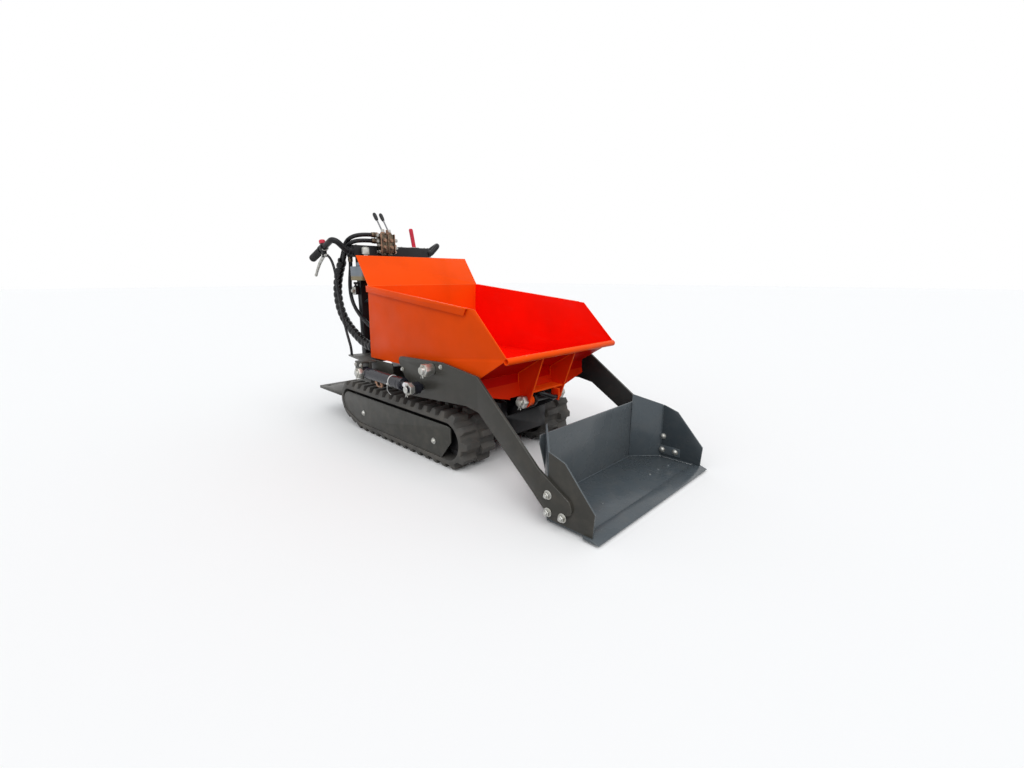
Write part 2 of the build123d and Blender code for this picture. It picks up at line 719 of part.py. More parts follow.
rear_low_outline = (
    (SKIP_REAR_X, SKIP_BOTTOM),
    (SKIP_REAR_X + SKIP_WALL, SKIP_BOTTOM),
    (KINK[0] + SKIP_WALL, KINK[1]),
    KINK,
)
rear_top_outline = (
    KINK,
    (KINK[0] + SKIP_WALL, KINK[1]),
    (REAR_TOP[0] + SKIP_WALL, REAR_TOP[1]),
    REAR_TOP,
)
with BuildPart() as rear:
    for outline, half in ((rear_low_outline, skip_in), (rear_top_outline, SKIP_HALF)):
        with BuildSketch(Plane.XZ):
            with BuildLine():
                Polyline(*outline, close=True)
            make_face()
        extrude(amount=half, both=True)
keep(rear, "skip_rear")

# Hinge ribs under the front panel, with the folded apron that carries them
rib_rear_x = FLOOR_FRONT_X - SKIP_WALL / 2
rib_outline = (
    (rib_rear_x, SKIP_BOTTOM),
    (FLOOR_FRONT_X, SKIP_BOTTOM),
    (RIB_TOP_X, under_front(RIB_TOP_X)),
    (HINGE[0] + RIB_EAR_R, HINGE[1]),
    (HINGE[0], HINGE[1] - RIB_EAR_R / 2),
    (HINGE[0] - RIB_EAR_R, HINGE[1]),
    (rib_rear_x, APRON_CREASE_Z),
)
apron_fold = (
    (FLOOR_FRONT_X - SKIP_WALL, SKIP_BOTTOM),
    (FLOOR_FRONT_X, SKIP_BOTTOM),
    (FLOOR_FRONT_X, APRON_CREASE_Z),
    (FLOOR_FRONT_X + APRON_FLARE, HINGE[1]),
    (FLOOR_FRONT_X + APRON_FLARE - SKIP_WALL, HINGE[1]),
    (FLOOR_FRONT_X - SKIP_WALL, APRON_CREASE_Z),
)
apron_half = (
    (RIB_IN, CROSS_PLATE_Z),
    (RIB_IN, HINGE[1]),
    (RIB_IN + RIB, HINGE[1]),
    (skip_in, APRON_SIDE_Z),
    (skip_in, SKIP_BOTTOM),
)
apron_outline = (*apron_half, *((-y, z) for y, z in reversed(apron_half)))
with BuildPart() as ribs:
    with BuildSketch(Plane.XZ):
        with BuildLine():
            Polyline(*apron_fold, close=True)
        make_face()
    extrude(amount=skip_in, both=True)
    with BuildSketch(Plane.YZ):
        with BuildLine():
            Polyline(*apron_outline, close=True)
        make_face()
    extrude(amount=2 * FLOOR_FRONT_X, mode=Mode.INTERSECT)
    for sign in (1, -1):
        with BuildSketch(Plane.XZ.offset(-sign * RIB_IN)):
            with BuildLine():
                Polyline(*rib_outline, close=True)
            make_face()
            with Locations(HINGE):
                Circle(RIB_EAR_R)
        extrude(amount=-sign * RIB)
        rod_y(*HINGE, sign * (RIB_IN - RIB_BOSS_L), sign * RIB_IN, 2 * RIB_EAR_R - RIB)
        nut_room = NUT_ACROSS + 2 * SWING_GAP
        rod_y(*HINGE, sign * (RIB_IN + RIB), sign * SKIP_HALF / 2, nut_room, Mode.SUBTRACT)
    cross_z = (CROSS_PLATE_Z, CROSS_PLATE_Z + CROSS_PLATE)
    block((FLOOR_FRONT_X, CROSS_PLATE_X), (-RIB_IN, RIB_IN), cross_z)
    tab_y = (BRACKET_IN - HOSE_TAB_GAP - HOSE_TAB, BRACKET_IN - HOSE_TAB_GAP)
    hose_foot, hose_end = HINGE_HOSE_ROUTE[0], HINGE_HOSE_ROUTE[-1]
    tab_x = (hose_foot[0] - SEAT - HOSE_TAB, hose_foot[0] - SEAT)
    tab_half = HINGE_HOSE_D / 2 + SEAT
    block(tab_x, (hose_foot[1] - tab_half, hose_foot[1] + tab_half), (hose_foot[2] - tab_half, CROSS_PLATE_Z))
    tab_front = hose_end[0] + HINGE_HOSE_D / 2 + HOSE_TAB
    tab_rear = CROSS_PLATE_X - HINGE_HOSE_D
    block((tab_rear, tab_front), tab_y, (hose_end[2] - HINGE_HOSE_D, CROSS_PLATE_Z))
    rod_y(*HINGE, -SKIP_HALF, SKIP_HALF, HINGE_PIN_D + 2 * SEAT, Mode.SUBTRACT)
keep(ribs, "skip_hinge_ribs")

# Loader arms, bent plates that step out to the shovel's sides
arm_outline = (
    (-100.0, 446.0),
    (225.0, 456.0),
    (430.0, 430.0),
    (760.0, 183.0),
    (890.0, 110.0),
    (903.0, 70.0),
    (806.0, 38.0),
    (740.0, 91.0),
    (548.0, 223.0),
    (440.0, 296.0),
    (365.0, 308.0),
    (10.0, 285.0),
)
arm_end_x = max(x for x, z in arm_outline)
arm_rear_x = min(x for x, z in arm_outline)
arm_top_z = max(z for x, z in arm_outline)
for side, sign in SIDES:
    inner_line = (
        (arm_rear_x, sign * ARM_IN),
        (ARM_BEND_X, sign * ARM_IN),
        (ARM_FLAT_X, sign * SHOVEL_HALF),
        (arm_end_x, sign * SHOVEL_HALF),
    )
    outer_line = [(x, y + sign * ARM) for x, y in reversed(inner_line)]
    with BuildPart() as arm:
        with BuildSketch():
            with BuildLine():
                Polyline(*inner_line, *outer_line, close=True)
            make_face()
        extrude(amount=arm_top_z)
        with BuildSketch(Plane.XZ):
            with BuildLine():
                FilletPolyline(*arm_outline, radius=ARM_ROUND, close=True)
            make_face()
        extrude(amount=ARM_IN + SHOVEL_HALF, both=True, mode=Mode.INTERSECT)
        rod_y(*PIVOT, sign * ARM_IN, sign * (ARM_IN + ARM), PIN_D + 2 * SEAT, Mode.SUBTRACT)
    keep(arm, f"loader_arm_{side}")

# Shovel
wing_run = Vector(SHOVEL_FOLD[0] - SHOVEL_BACK_X, SHOVEL_HALF - SHOVEL_BACK_HALF)
with BuildPart() as shovel_floor:
    with BuildSketch(Plane.XY.offset(SHOVEL_BOTTOM)):
        with BuildLine():
            Polyline(
                (SHOVEL_BACK_X, SHOVEL_BACK_HALF - SHOVEL_WALL),
                (SHOVEL_FOLD[0], SHOVEL_HALF - SHOVEL_WALL),
                (EDGE_FRONT - EDGE_L, SHOVEL_HALF - SHOVEL_WALL),
                (EDGE_FRONT - EDGE_L, -SHOVEL_HALF + SHOVEL_WALL),
                (SHOVEL_FOLD[0], -SHOVEL_HALF + SHOVEL_WALL),
                (SHOVEL_BACK_X, -SHOVEL_BACK_HALF + SHOVEL_WALL),
                close=True,
            )
        make_face()
    extrude(amount=SHOVEL_WALL)
keep(shovel_floor, "shovel_floor")

with BuildPart() as edge:
    edge_outline = (
        (EDGE_FRONT - EDGE_L, SHOVEL_BOTTOM),
        (EDGE_FRONT, SHOVEL_BOTTOM),
        (EDGE_FRONT - EDGE_L / 2, SHOVEL_BOTTOM + EDGE_H),
        (EDGE_FRONT - EDGE_L, SHOVEL_BOTTOM + EDGE_H),
    )
    with BuildSketch(Plane.XZ):
        with BuildLine():
            Polyline(*edge_outline, close=True)
        make_face()
    extrude(amount=EDGE_HALF, both=True)
keep(edge, "cutting_edge")

back_half = SHOVEL_BACK_HALF - SHOVEL_WALL
ear_tip = back_half + EAR_OUT
with BuildPart() as back:
    back_x = (SHOVEL_BACK_X - SHOVEL_WALL, SHOVEL_BACK_X)
    block(back_x, (-back_half, back_half), (SHOVEL_BOTTOM, BACK_TOP))
    for sign in (1, -1):
        ear_outline = (
            (sign * back_half, EAR_LOW),
            (sign * back_half, BACK_TOP),
            (sign * ear_tip, BACK_TOP),
            (sign * ear_tip, BACK_TOP - EAR_OUT),
        )
        with BuildSketch(Plane.YZ.offset(back_x[0])):
            with BuildLine():
                Polyline(*ear_outline, close=True)
            make_face()
        extrude(amount=SHOVEL_WALL)
keep(back, "shovel_back")

for side, sign in SIDES:
    side_outline = (
        (SHOVEL_FOLD[0], SHOVEL_BOTTOM + EDGE_H),
        (SHOVEL_TOE_X, SHOVEL_BOTTOM + EDGE_H),
        SHOVEL_TIP,
        SHOVEL_KINK,
        SHOVEL_FOLD,
    )
    keep(side_plate(side_outline, sign, SHOVEL_HALF - SHOVEL_WALL, SHOVEL_WALL), f"shovel_side_{side}")

    corner = Vector(SHOVEL_BACK_X, sign * back_half, 0)
    along = Vector(wing_run.X, sign * wing_run.Y, 0)
    wing_plane = Plane(origin=corner, x_dir=along, z_dir=along.cross(Vector(0, 0, 1)))
    wing_length = along.length
    wing_outline = ((0, SHOVEL_BOTTOM), (wing_length, SHOVEL_BOTTOM), (wing_length, SHOVEL_FOLD[1]), (0, WING_TOP))
    with BuildPart() as wing:
        with BuildSketch(wing_plane):
            with BuildLine():
                Polyline(*wing_outline, close=True)
            make_face()
        extrude(amount=-sign * SHOVEL_WALL)
        split(bisect_by=Plane.YZ.offset(SHOVEL_BACK_X + SEAT), keep=Keep.TOP)
    keep(wing, f"shovel_wing_{side}")

# Hydraulic cylinders, each a barrel on its anchor and a rod that slides in it


def cylinder_pair(anchor_xz, pin_xz, y, sizes, pin_ends):
    """Barrel and rod between two pin places at one Y."""
    barrel_d, barrel_l, rod_d, rod_in = sizes
    start = Vector(anchor_xz[0], y, anchor_xz[1])
    run = Vector(pin_xz[0], y, pin_xz[1]) - start
    direction = run.normalized()
    with BuildPart() as barrel:
        with BuildSketch(Plane(origin=start, z_dir=direction)):
            Circle(EYE_W / 2)
        extrude(amount=EYE_D)
        with BuildSketch(Plane(origin=start + direction * (EYE_D / 2 + SWING_GAP), z_dir=direction)):
            Circle(barrel_d / 2)
        extrude(amount=barrel_l - EYE_D / 2 - SWING_GAP)
        rod_y(*anchor_xz, y - EYE_W / 2, y + EYE_W / 2, EYE_D)
        with BuildSketch(Plane(origin=start + direction * rod_in, z_dir=direction)):
            Circle(rod_d / 2 + SEAT)
        extrude(amount=barrel_l, mode=Mode.SUBTRACT)
        rod_y(*anchor_xz, y - barrel_d, y + barrel_d, EYE_BORE_D, Mode.SUBTRACT)
    with BuildPart() as rod:
        with BuildSketch(Plane(origin=start + direction * (rod_in + SEAT), z_dir=direction)):
            Circle(rod_d / 2)
        extrude(amount=run.length - rod_in - SEAT)
        rod_y(*pin_xz, y - EYE_W / 2, y + EYE_W / 2, EYE_D)
        rod_y(*pin_xz, y + pin_ends[0], y + pin_ends[1], PIN_D)
    return barrel, rod


lift_sizes = (LIFT_BARREL_D, LIFT_BARREL_L, LIFT_ROD_D, LIFT_ROD_IN)
for side, sign in SIDES:
    pin_reach = sorted((sign * (ARM_IN + ARM + PIN_PLAY - LIFT_Y), sign * (EYE_W / 2 + NUT_H + PIN_PROUD)))
    barrel, rod = cylinder_pair(LIFT_ANCHOR, LIFT_PIN, sign * LIFT_Y, lift_sizes, pin_reach)
    keep(barrel, f"lift_barrel_{side}")
    with BuildPart() as lift_rod:
        add(rod.part)
        nut_in = LIFT_Y + EYE_W / 2
        add(hex_nut(*LIFT_PIN, sign * nut_in, sign * (nut_in + NUT_H)))
    keep(lift_rod, f"lift_rod_{side}")

tip_sizes = (TIP_BARREL_D, TIP_BARREL_L, TIP_ROD_D, TIP_ROD_IN)
pin_half = tip_lug_in - PIN_PLAY
barrel, rod = cylinder_pair(TIP_ANCHOR, TIP_PIN, 0, tip_sizes, (-pin_half, pin_half))
keep(barrel, "tip_barrel")
keep(rod, "tip_rod")

# Open engine on its deck
case_top = DECK_TOP + CASE_H
head_top = case_top + HEAD_H
with BuildPart() as engine:
    block(CASE_X, (-CASE_HALF, CASE_HALF), (DECK_TOP, case_top))
    chamfer(engine.edges().filter_by(Axis.X), CASE_CHAMFER)
    block(HEAD_X, (-HEAD_HALF, HEAD_HALF), (case_top, head_top))
    for count in range(FIN_COUNT):
        fin_z = case_top + (count + 1) * FIN_PITCH
        fin_x = (HEAD_X[0] - FIN_OUT, HEAD_X[1] + FIN_OUT)
        block(fin_x, (-HEAD_HALF - FIN_OUT, HEAD_HALF + FIN_OUT), (fin_z, fin_z + FIN_T))
keep(engine, "engine_block")

shroud_z = DECK_TOP + SHROUD_D / 2 + SWING_GAP
with BuildPart() as shroud:
    shroud_rear = CASE_X[0] - SHROUD_L
    bar((CASE_X[0], 0, shroud_z), (shroud_rear, 0, shroud_z), SHROUD_D)
    bar((shroud_rear, 0, shroud_z), (shroud_rear - RECOIL_L, 0, shroud_z), RECOIL_D)
    fillet(shroud.edges().group_by(Axis.X)[0], RECOIL_L / 2)
keep(shroud, "engine_shroud")

with BuildPart() as fuel_tank:
    block(FUEL_X, (-FUEL_HALF, FUEL_HALF), (head_top, head_top + FUEL_H))
    fillet(fuel_tank.edges(), FUEL_ROUND)
    fuel_mid = ((FUEL_X[0] + FUEL_X[1]) / 2, 0, head_top + FUEL_H)
    bar(fuel_mid, (fuel_mid[0], 0, fuel_mid[2] + CAP_H), CAP_D)
keep(fuel_tank, "fuel_tank")

box_mid_x = (SIDE_BOX_X[0] + SIDE_BOX_X[1]) / 2
box_mid_z = case_top + (FIN_COUNT + 1) * FIN_PITCH / 2
fin_side = HEAD_HALF + FIN_OUT
for name, sign in (("muffler", 1), ("air_cleaner", -1)):
    with BuildPart() as side_box:
        box_y = (fin_side + FLANGE, fin_side + FLANGE + SIDE_BOX_W)
        side_block(sign, SIDE_BOX_X, box_y, (box_mid_z - SIDE_BOX_H / 2, box_mid_z + SIDE_BOX_H / 2))
        fillet(side_box.edges(), SIDE_BOX_ROUND)
        rod_y(box_mid_x, box_mid_z, sign * fin_side, sign * (box_y[0] + SIDE_BOX_ROUND), CAP_D)
        if name == "muffler":
            pipe_y = sign * (box_y[0] + SIDE_BOX_W / 2)
            pipe_end = SIDE_BOX_X[0] - TAILPIPE_L
            bar((SIDE_BOX_X[0], pipe_y, box_mid_z), (pipe_end, pipe_y, box_mid_z), TAILPIPE_D)
    keep(side_box, name)

# Control column and console
post_x = (COLUMN_X - COLUMN_TUBE / 2, COLUMN_X + COLUMN_TUBE / 2)
post_y = (COLUMN_Y - COLUMN_TUBE / 2, COLUMN_Y + COLUMN_TUBE / 2)
console_low = CONSOLE_TOP - CONSOLE_H
with BuildPart() as column:
    for sign in (1, -1):
        side_block(sign, post_x, post_y, (DECK_TOP, console_low))
        foot_x = (post_x[0], DECK_REAR + COLUMN_TUBE)
        side_block(sign, foot_x, (DECK_HALF - COLUMN_TUBE, post_y[1]), (DECK_TOP, DECK_TOP + DECK_T))
    brace_z = (COLUMN_BRACE_Z - COLUMN_TUBE / 2, COLUMN_BRACE_Z + COLUMN_TUBE / 2)
    block(post_x, (-post_y[0], post_y[0]), brace_z)
keep(column, "control_column")

with BuildPart() as console:
    block(CONSOLE_X, (-CONSOLE_HALF, CONSOLE_HALF), (console_low, CONSOLE_TOP))
    fillet(console.edges().filter_by(Axis.Y), CONSOLE_ROUND)
keep(console, "console")

with BuildPart() as oil_tank:
    oil_x = (post_x[1], post_x[1] + OIL_L)
    side_block(-1, oil_x, (COLUMN_Y - OIL_IN, COLUMN_Y + OIL_OUT), (OIL_BOTTOM, OIL_BOTTOM + OIL_H))
    fillet(oil_tank.edges().filter_by(Axis.Z), OIL_ROUND)
    oil_mid = (oil_x[0] + OIL_L / 2, -COLUMN_Y - OIL_OUT / 2, OIL_BOTTOM + OIL_H)
    bar(oil_mid, (oil_mid[0], oil_mid[1], oil_mid[2] + CAP_H), CAP_D)
keep(oil_tank, "hydraulic_tank")

valve_x = (CONSOLE_X[1], CONSOLE_X[1] + VALVE_L)
valve_z = (CONSOLE_TOP - VALVE_DROP, CONSOLE_TOP - VALVE_DROP + VALVE_H)
with BuildPart() as valve:
    block(valve_x, VALVE_Y, valve_z)
    for route in VALVE_ROUTES:
        port_x, port_y, port_z = route[0]
        rod_y(port_x, port_z, VALVE_Y[0], port_y, PORT_D)
keep(valve, "valve_block")

with BuildPart() as levers:
    for lever_y in LEVER_YS:
        foot = Vector((valve_x[0] + valve_x[1]) / 2, lever_y, valve_z[1])
        lean = Vector(LEVER_LEAN[0], 0, LEVER_LEAN[1])
        top = foot + lean
        bar(foot, (foot.X, foot.Y, foot.Z + KNOB_D), KNOB_D)
        bar(foot + Vector(0, 0, KNOB_D / 2), top, LEVER_D)
        bar(top - lean.normalized() * KNOB_L, top, KNOB_D)
keep(levers, "valve_levers")

with BuildPart() as drive_lever:
    lever_outline = (
        (DRIVE_LEVER_Y - DRIVE_LEVER_W / 2, CONSOLE_TOP),
        (DRIVE_LEVER_Y + DRIVE_LEVER_W / 2, CONSOLE_TOP),
        (DRIVE_LEVER_Y + DRIVE_LEVER_W / 2 - DRIVE_LEVER_LEAN, CONSOLE_TOP + DRIVE_LEVER_H),
        (DRIVE_LEVER_Y - DRIVE_LEVER_W / 2 - DRIVE_LEVER_LEAN, CONSOLE_TOP + DRIVE_LEVER_H),
    )
    with BuildSketch(Plane.YZ.offset(COLUMN_X)):
        with BuildLine():
            Polyline(*lever_outline, close=True)
        make_face()
    extrude(amount=DRIVE_LEVER_T)
    fillet(drive_lever.edges().filter_by(Axis.X).group_by(Axis.Z)[-1], DRIVE_LEVER_W / 3)
keep(drive_lever, "drive_lever")

# Handlebars, grips and hand levers
grip_slope = (GRIP_FRONT[1] - GRIP_REAR[1]) / (GRIP_FRONT[0] - GRIP_REAR[0])
elbow_z = GRIP_FRONT[1] + (COLUMN_X - GRIP_FRONT[0]) * grip_slope
socket_z = CONSOLE_TOP - CONSOLE_H / 2
handles = []
for sign in (1, -1):
    handle_route = (
        (COLUMN_X, sign * (CONSOLE_HALF + SEAT), socket_z),
        (COLUMN_X, sign * (CONSOLE_HALF + HANDLE_D), socket_z),
        (COLUMN_X, sign * HANDLE_Y, elbow_z),
        (GRIP_FRONT[0], sign * HANDLE_Y, GRIP_FRONT[1]),
    )
    with BuildPart() as handle:
        with BuildLine() as route:
            FilletPolyline(*handle_route, radius=HANDLE_D)
        with BuildSketch(Plane(origin=route.line @ 0, z_dir=route.line % 0)):
            Circle(HANDLE_D / 2)
        sweep()
    handles.append(handle.part)
with BuildPart() as handlebars:
    add(handles)
keep(handlebars, "handlebars")

grip_run = Vector(GRIP_REAR[0] - GRIP_FRONT[0], 0, GRIP_REAR[1] - GRIP_FRONT[1])
with BuildPart() as grips:
    for sign in (1, -1):
        grip_start = Vector(GRIP_FRONT[0], sign * HANDLE_Y, GRIP_FRONT[1])
        bar(grip_start + grip_run.normalized() * SEAT, grip_start + grip_run, GRIP_D)
    fillet(grips.edges().group_by(Axis.X)[0], HAND_LEVER_D)
keep(grips, "handle_grips")

perch_z = GRIP_FRONT[1] + (PERCH_X - GRIP_FRONT[0]) * grip_slope
perch_half = grip_run.normalized() * (PERCH_L / 2)
lever_sets = []
for sign in (1, -1):
    perch = Vector(PERCH_X, sign * HANDLE_Y, perch_z)
    pivot = perch - Vector(0, 0, PERCH_DROP)
    lever_end = pivot + Vector(HAND_LEVER_REACH[0], 0, HAND_LEVER_REACH[1])
    perch_x = (PERCH_X - PERCH_L / 2, PERCH_X + PERCH_L / 2)
    perch_y = (perch.Y - HAND_LEVER_D, perch.Y + HAND_LEVER_D)
    with BuildPart() as lever_set:
        bar(perch - perch_half, perch + perch_half, PERCH_D)
        block(perch_x, perch_y, (pivot.Z - HAND_LEVER_D, perch_z - PERCH_D / 4))
        if sign < 0:
            knob_top = perch + Vector(0, 0, PERCH_D / 2 + RED_KNOB_H)
            bar(perch + Vector(0, 0, HANDLE_D / 2), knob_top, RED_KNOB_D)
        bar(perch + perch_half * 3, perch - perch_half * 3, HANDLE_D + 2 * SEAT, Mode.SUBTRACT)
        lever_lead = (lever_end - pivot).normalized()
        bar(pivot, lever_end, HAND_LEVER_D)
        bar(lever_end - lever_lead * HAND_LEVER_D, lever_end, HAND_LEVER_D * 4 / 3)
    lever_sets.append(lever_set.part)
with BuildPart() as hand_levers:
    add(lever_sets)
keep(hand_levers, "hand_levers")

# Rear step
with BuildPart() as step:
    block((STEP_REAR, STEP_FRONT), (-STEP_HALF, STEP_HALF), (STEP_TOP - STEP_T, STEP_TOP))
    for sign in (1, -1):
        side_block(sign, (STEP_FRONT - COLUMN_TUBE, RAIL_REAR), (RAIL_IN + SEAT, RAIL_OUT), (STEP_TOP, RAIL_BOTTOM))
        with Locations((STEP_REAR + STEP_HOLE_EDGE, sign * (STEP_HALF - STEP_HOLE_EDGE), STEP_TOP)):
            Hole(STEP_HOLE_D / 2, STEP_T)
keep(step, "rear_step")

# Hoses and cables


def bend_radii(route):
    """Largest tangent arc at each inner point of a route."""
    points = [Vector(*point) for point in route]
    radii = []
    for before, corner, after in zip(points, points[1:], points[2:]):
        run_in = corner - before
        run_out = after - corner
        half_turn = math.radians(run_in.get_angle(run_out)) / 2
        radii.append(BEND_SHARE * min(run_in.length, run_out.length) / math.tan(half_turn))
    return radii


def hose(route, diameter, name):
    """Round hose along straight runs joined by tangent arcs."""
    radii = bend_radii(route)
    with BuildPart() as tube:
        with BuildLine() as path:
            FilletPolyline(*route, radius=radii)
        with BuildSketch(Plane(origin=path.line @ 0, z_dir=path.line % 0)):
            Circle(diameter / 2)
        sweep()
    length = sum(edge.length for edge in path.edges())
    share = tube.part.volume / (math.pi * diameter**2 / 4 * length)
    print(name, "length", round(length), "radii", [round(r) for r in radii], "volume share", round(share, 3))
    keep(tube, name)


hose(GUARD_ROUTE, GUARD_D, "hose_bundle")
guard_top = Vector(*GUARD_ROUTE[0])
guard_lead = (Vector(*GUARD_ROUTE[1]) - guard_top).normalized()
guard_side = guard_lead.cross(Vector(0, 1, 0)) * HOSE_SPREAD
for count, (route, offset) in enumerate(zip(VALVE_ROUTES, (-guard_side, guard_side)), 1):
    hose_end = guard_top + offset - guard_lead * SEAT
    hose((*route, tuple(hose_end - guard_lead * 2 * HOSE_D), tuple(hose_end)), HOSE_D, f"valve_hose_{count}")
hose(FEED_ROUTE, HOSE_D, "feed_hose")
hose(HINGE_HOSE_ROUTE, HINGE_HOSE_D, "hinge_hose")
for side, sign in SIDES:
    hose([(x, sign * y, z) for x, y, z in CABLE_ROUTE], CABLE_D, f"clutch_cable_{side}")
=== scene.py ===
# Looks of the tracked dumper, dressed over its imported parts. Places are in millimetres until they reach Blender.
import json
import math

import bpy
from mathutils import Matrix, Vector


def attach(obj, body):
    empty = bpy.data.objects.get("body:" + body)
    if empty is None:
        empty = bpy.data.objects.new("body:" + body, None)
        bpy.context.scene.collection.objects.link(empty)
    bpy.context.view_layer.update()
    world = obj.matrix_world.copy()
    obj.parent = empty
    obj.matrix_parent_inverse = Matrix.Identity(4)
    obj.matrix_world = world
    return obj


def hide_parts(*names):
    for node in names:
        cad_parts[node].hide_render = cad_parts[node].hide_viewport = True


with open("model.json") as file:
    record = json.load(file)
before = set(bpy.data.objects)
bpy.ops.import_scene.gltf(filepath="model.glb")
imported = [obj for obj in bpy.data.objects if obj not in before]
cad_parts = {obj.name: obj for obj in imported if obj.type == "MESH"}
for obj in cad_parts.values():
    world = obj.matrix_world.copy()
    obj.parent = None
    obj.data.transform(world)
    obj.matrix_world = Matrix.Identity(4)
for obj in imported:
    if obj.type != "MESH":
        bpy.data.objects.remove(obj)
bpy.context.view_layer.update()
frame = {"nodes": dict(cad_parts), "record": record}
nodes = frame["nodes"]
SIDES = (("left", 1), ("right", -1))
BODY_OF = {node: body for body, members in frame["record"]["behaviour"]["bodies"].items() for node in members}


# Working at the bench


def mode(kind):
    """Go into edit mode, or back to object mode."""
    bpy.ops.object.mode_set(mode=kind)


def alone(piece):
    """Select one piece and make it the one in hand."""
    if bpy.context.mode != "OBJECT":
        mode("OBJECT")
    bpy.ops.object.select_all(action="DESELECT")
    piece.select_set(True)
    bpy.context.view_layer.objects.active = piece
    return piece


def named(name):
    """Name the piece that was just added."""
    piece = bpy.context.active_object
    piece.name = name
    piece.data.name = name
    return piece


def placed(name, data):
    """New piece in the scene."""
    piece = bpy.data.objects.new(name, data)
    bpy.context.scene.collection.objects.link(piece)
    return piece


def keep_place():
    """Keep the place, turn and size of the piece in hand in its mesh."""
    bpy.ops.object.transform_apply(location=True, rotation=True, scale=True)


def put(piece, at=(0, 0, 0), lead=None, turn=None):
    """Turn a piece that was made along Z to its lead, move it, and keep both in its mesh."""
    alone(piece)
    if lead is not None:
        piece.rotation_euler = Vector(lead).to_track_quat("Z", "Y").to_euler()
    if turn is not None:
        piece.rotation_euler = [math.radians(value) for value in turn]
    piece.location = Vector(at) / 1000
    keep_place()
    return piece


def soften(piece, width, segments=2, angle=32, edge_slot=-1):
    """Round the sharp edges of a piece."""
    alone(piece)
    rounding = piece.modifiers.new("edge rounding", "BEVEL")
    rounding.width = width / 1000
    rounding.segments = segments
    rounding.limit_method = "ANGLE"
    rounding.angle_limit = math.radians(angle)
    rounding.material = edge_slot
    bpy.ops.object.modifier_apply(modifier=rounding.name)
    return piece


def smooth(piece, angle=38):
    """Shade the curves smooth and leave the corners crisp."""
    alone(piece)
    bpy.ops.object.shade_smooth_by_angle(angle=math.radians(angle))
    return piece


def joined(name, pieces):
    """Join pieces into one."""
    alone(pieces[0])
    for piece in pieces[1:]:
        piece.select_set(True)
    bpy.ops.object.join()
    return named(name)


def outward():
    """Merge doubles and turn the faces of the mesh in hand outwards."""
    bpy.ops.mesh.select_all(action="SELECT")
    bpy.ops.mesh.remove_doubles(threshold=0.00001)
    bpy.ops.mesh.normals_make_consistent(inside=False)


def pick(piece, kind, chosen):
    """Select the faces or points that the test chooses, and leave the piece in edit mode."""
    alone(piece)
    mode("EDIT")
    bpy.ops.mesh.select_mode(type=kind)
    bpy.ops.mesh.select_all(action="DESELECT")
    mode("OBJECT")
    for item in piece.data.polygons if kind == "FACE" else piece.data.vertices:
        item.select = bool(chosen(item))
    mode("EDIT")


def pick_faces(piece, where):
    """Select the faces whose middle and normal pass the test."""
    pick(piece, "FACE", lambda face: where(face.center * 1000, face.normal))


def shift_points(piece, where, by):
    """Move the points that lie where the test says."""
    pick(piece, "VERT", lambda point: where(point.co * 1000))
    bpy.ops.transform.translate(value=[value / 1000 for value in by])
    mode("OBJECT")


def turned(name, rings, sides=40, at=(0, 0, 0), lead=(0, 0, 1)):
    """Round piece drawn out along its axis; each ring is its distance and radius."""
    reached, radius = rings[0]
    bpy.ops.mesh.primitive_circle_add(vertices=sides, radius=radius / 1000, fill_type="NGON")
    piece = named(name)
    mode("EDIT")
    bpy.ops.mesh.select_all(action="SELECT")
    bpy.ops.transform.translate(value=(0, 0, reached / 1000))
    for distance, wide in rings[1:]:
        rise = (distance - reached) / 1000
        bpy.ops.mesh.extrude_region_move(TRANSFORM_OT_translate={"value": (0, 0, rise)})
        share = wide / radius
        bpy.ops.transform.resize(value=(share, share, 1), center_override=(0, 0, distance / 1000))
        reached, radius = distance, wide
    outward()
    mode("OBJECT")
    return put(piece, at, lead)


def boxed(name, low, high, edge, segments=2):
    """Block between two corners with rounded edges."""
    middle = [(a + b) / 2000 for a, b in zip(low, high)]
    size = [(b - a) / 1000 for a, b in zip(low, high)]
    bpy.ops.mesh.primitive_cube_add(size=1, location=middle, scale=size)
    piece = named(name)
    keep_place()
    return soften(piece, edge, segments)


def side_box(name, sign, x, out, z, edge=1.5):
    """Block on one side of the machine; out is how far it reaches from the middle."""
    y = sorted((sign * out[0], sign * out[1]))
    return boxed(name, (x[0], y[0], z[0]), (x[1], y[1], z[1]), edge)


def ring(name, outer, inner, height, at, lead, sides=40, edge=0.8):
    """Washer, bush or clamp with a hole through it."""
    bpy.ops.mesh.primitive_circle_add(vertices=sides, radius=outer / 1000, fill_type="NGON")
    piece = named(name)
    mode("EDIT")
    bpy.ops.mesh.select_all(action="SELECT")
    bpy.ops.mesh.inset(thickness=(outer - inner) / 1000 * math.cos(math.pi / sides))
    bpy.ops.mesh.delete(type="FACE")
    bpy.ops.mesh.select_all(action="SELECT")
    bpy.ops.mesh.extrude_region_move(TRANSFORM_OT_translate={"value": (0, 0, height / 1000)})
    outward()
    mode("OBJECT")
    if edge:
        soften(piece, edge, 1)
    return put(piece, at, lead)


def smooth_line(name, route, thick, order=3, rounds=6, detail=14, swell=None):
    """Smooth line with its route as control points, as thick as asked."""
    line = bpy.data.curves.new(name, "CURVE")
    line.dimensions = "3D"
    spline = line.splines.new("NURBS")
    spline.points.add(len(route) - 1)
    for index, (point, place) in enumerate(zip(spline.points, route)):
        point.co = (*(value / 1000 for value in place), 1)
        if swell:
            point.radius = swell(index)
    spline.order_u = order
    spline.use_endpoint_u = True
    line.resolution_u = detail
    line.bevel_depth = thick / 2000
    line.bevel_resolution = rounds
    line.use_fill_caps = True
    return placed(name, line)


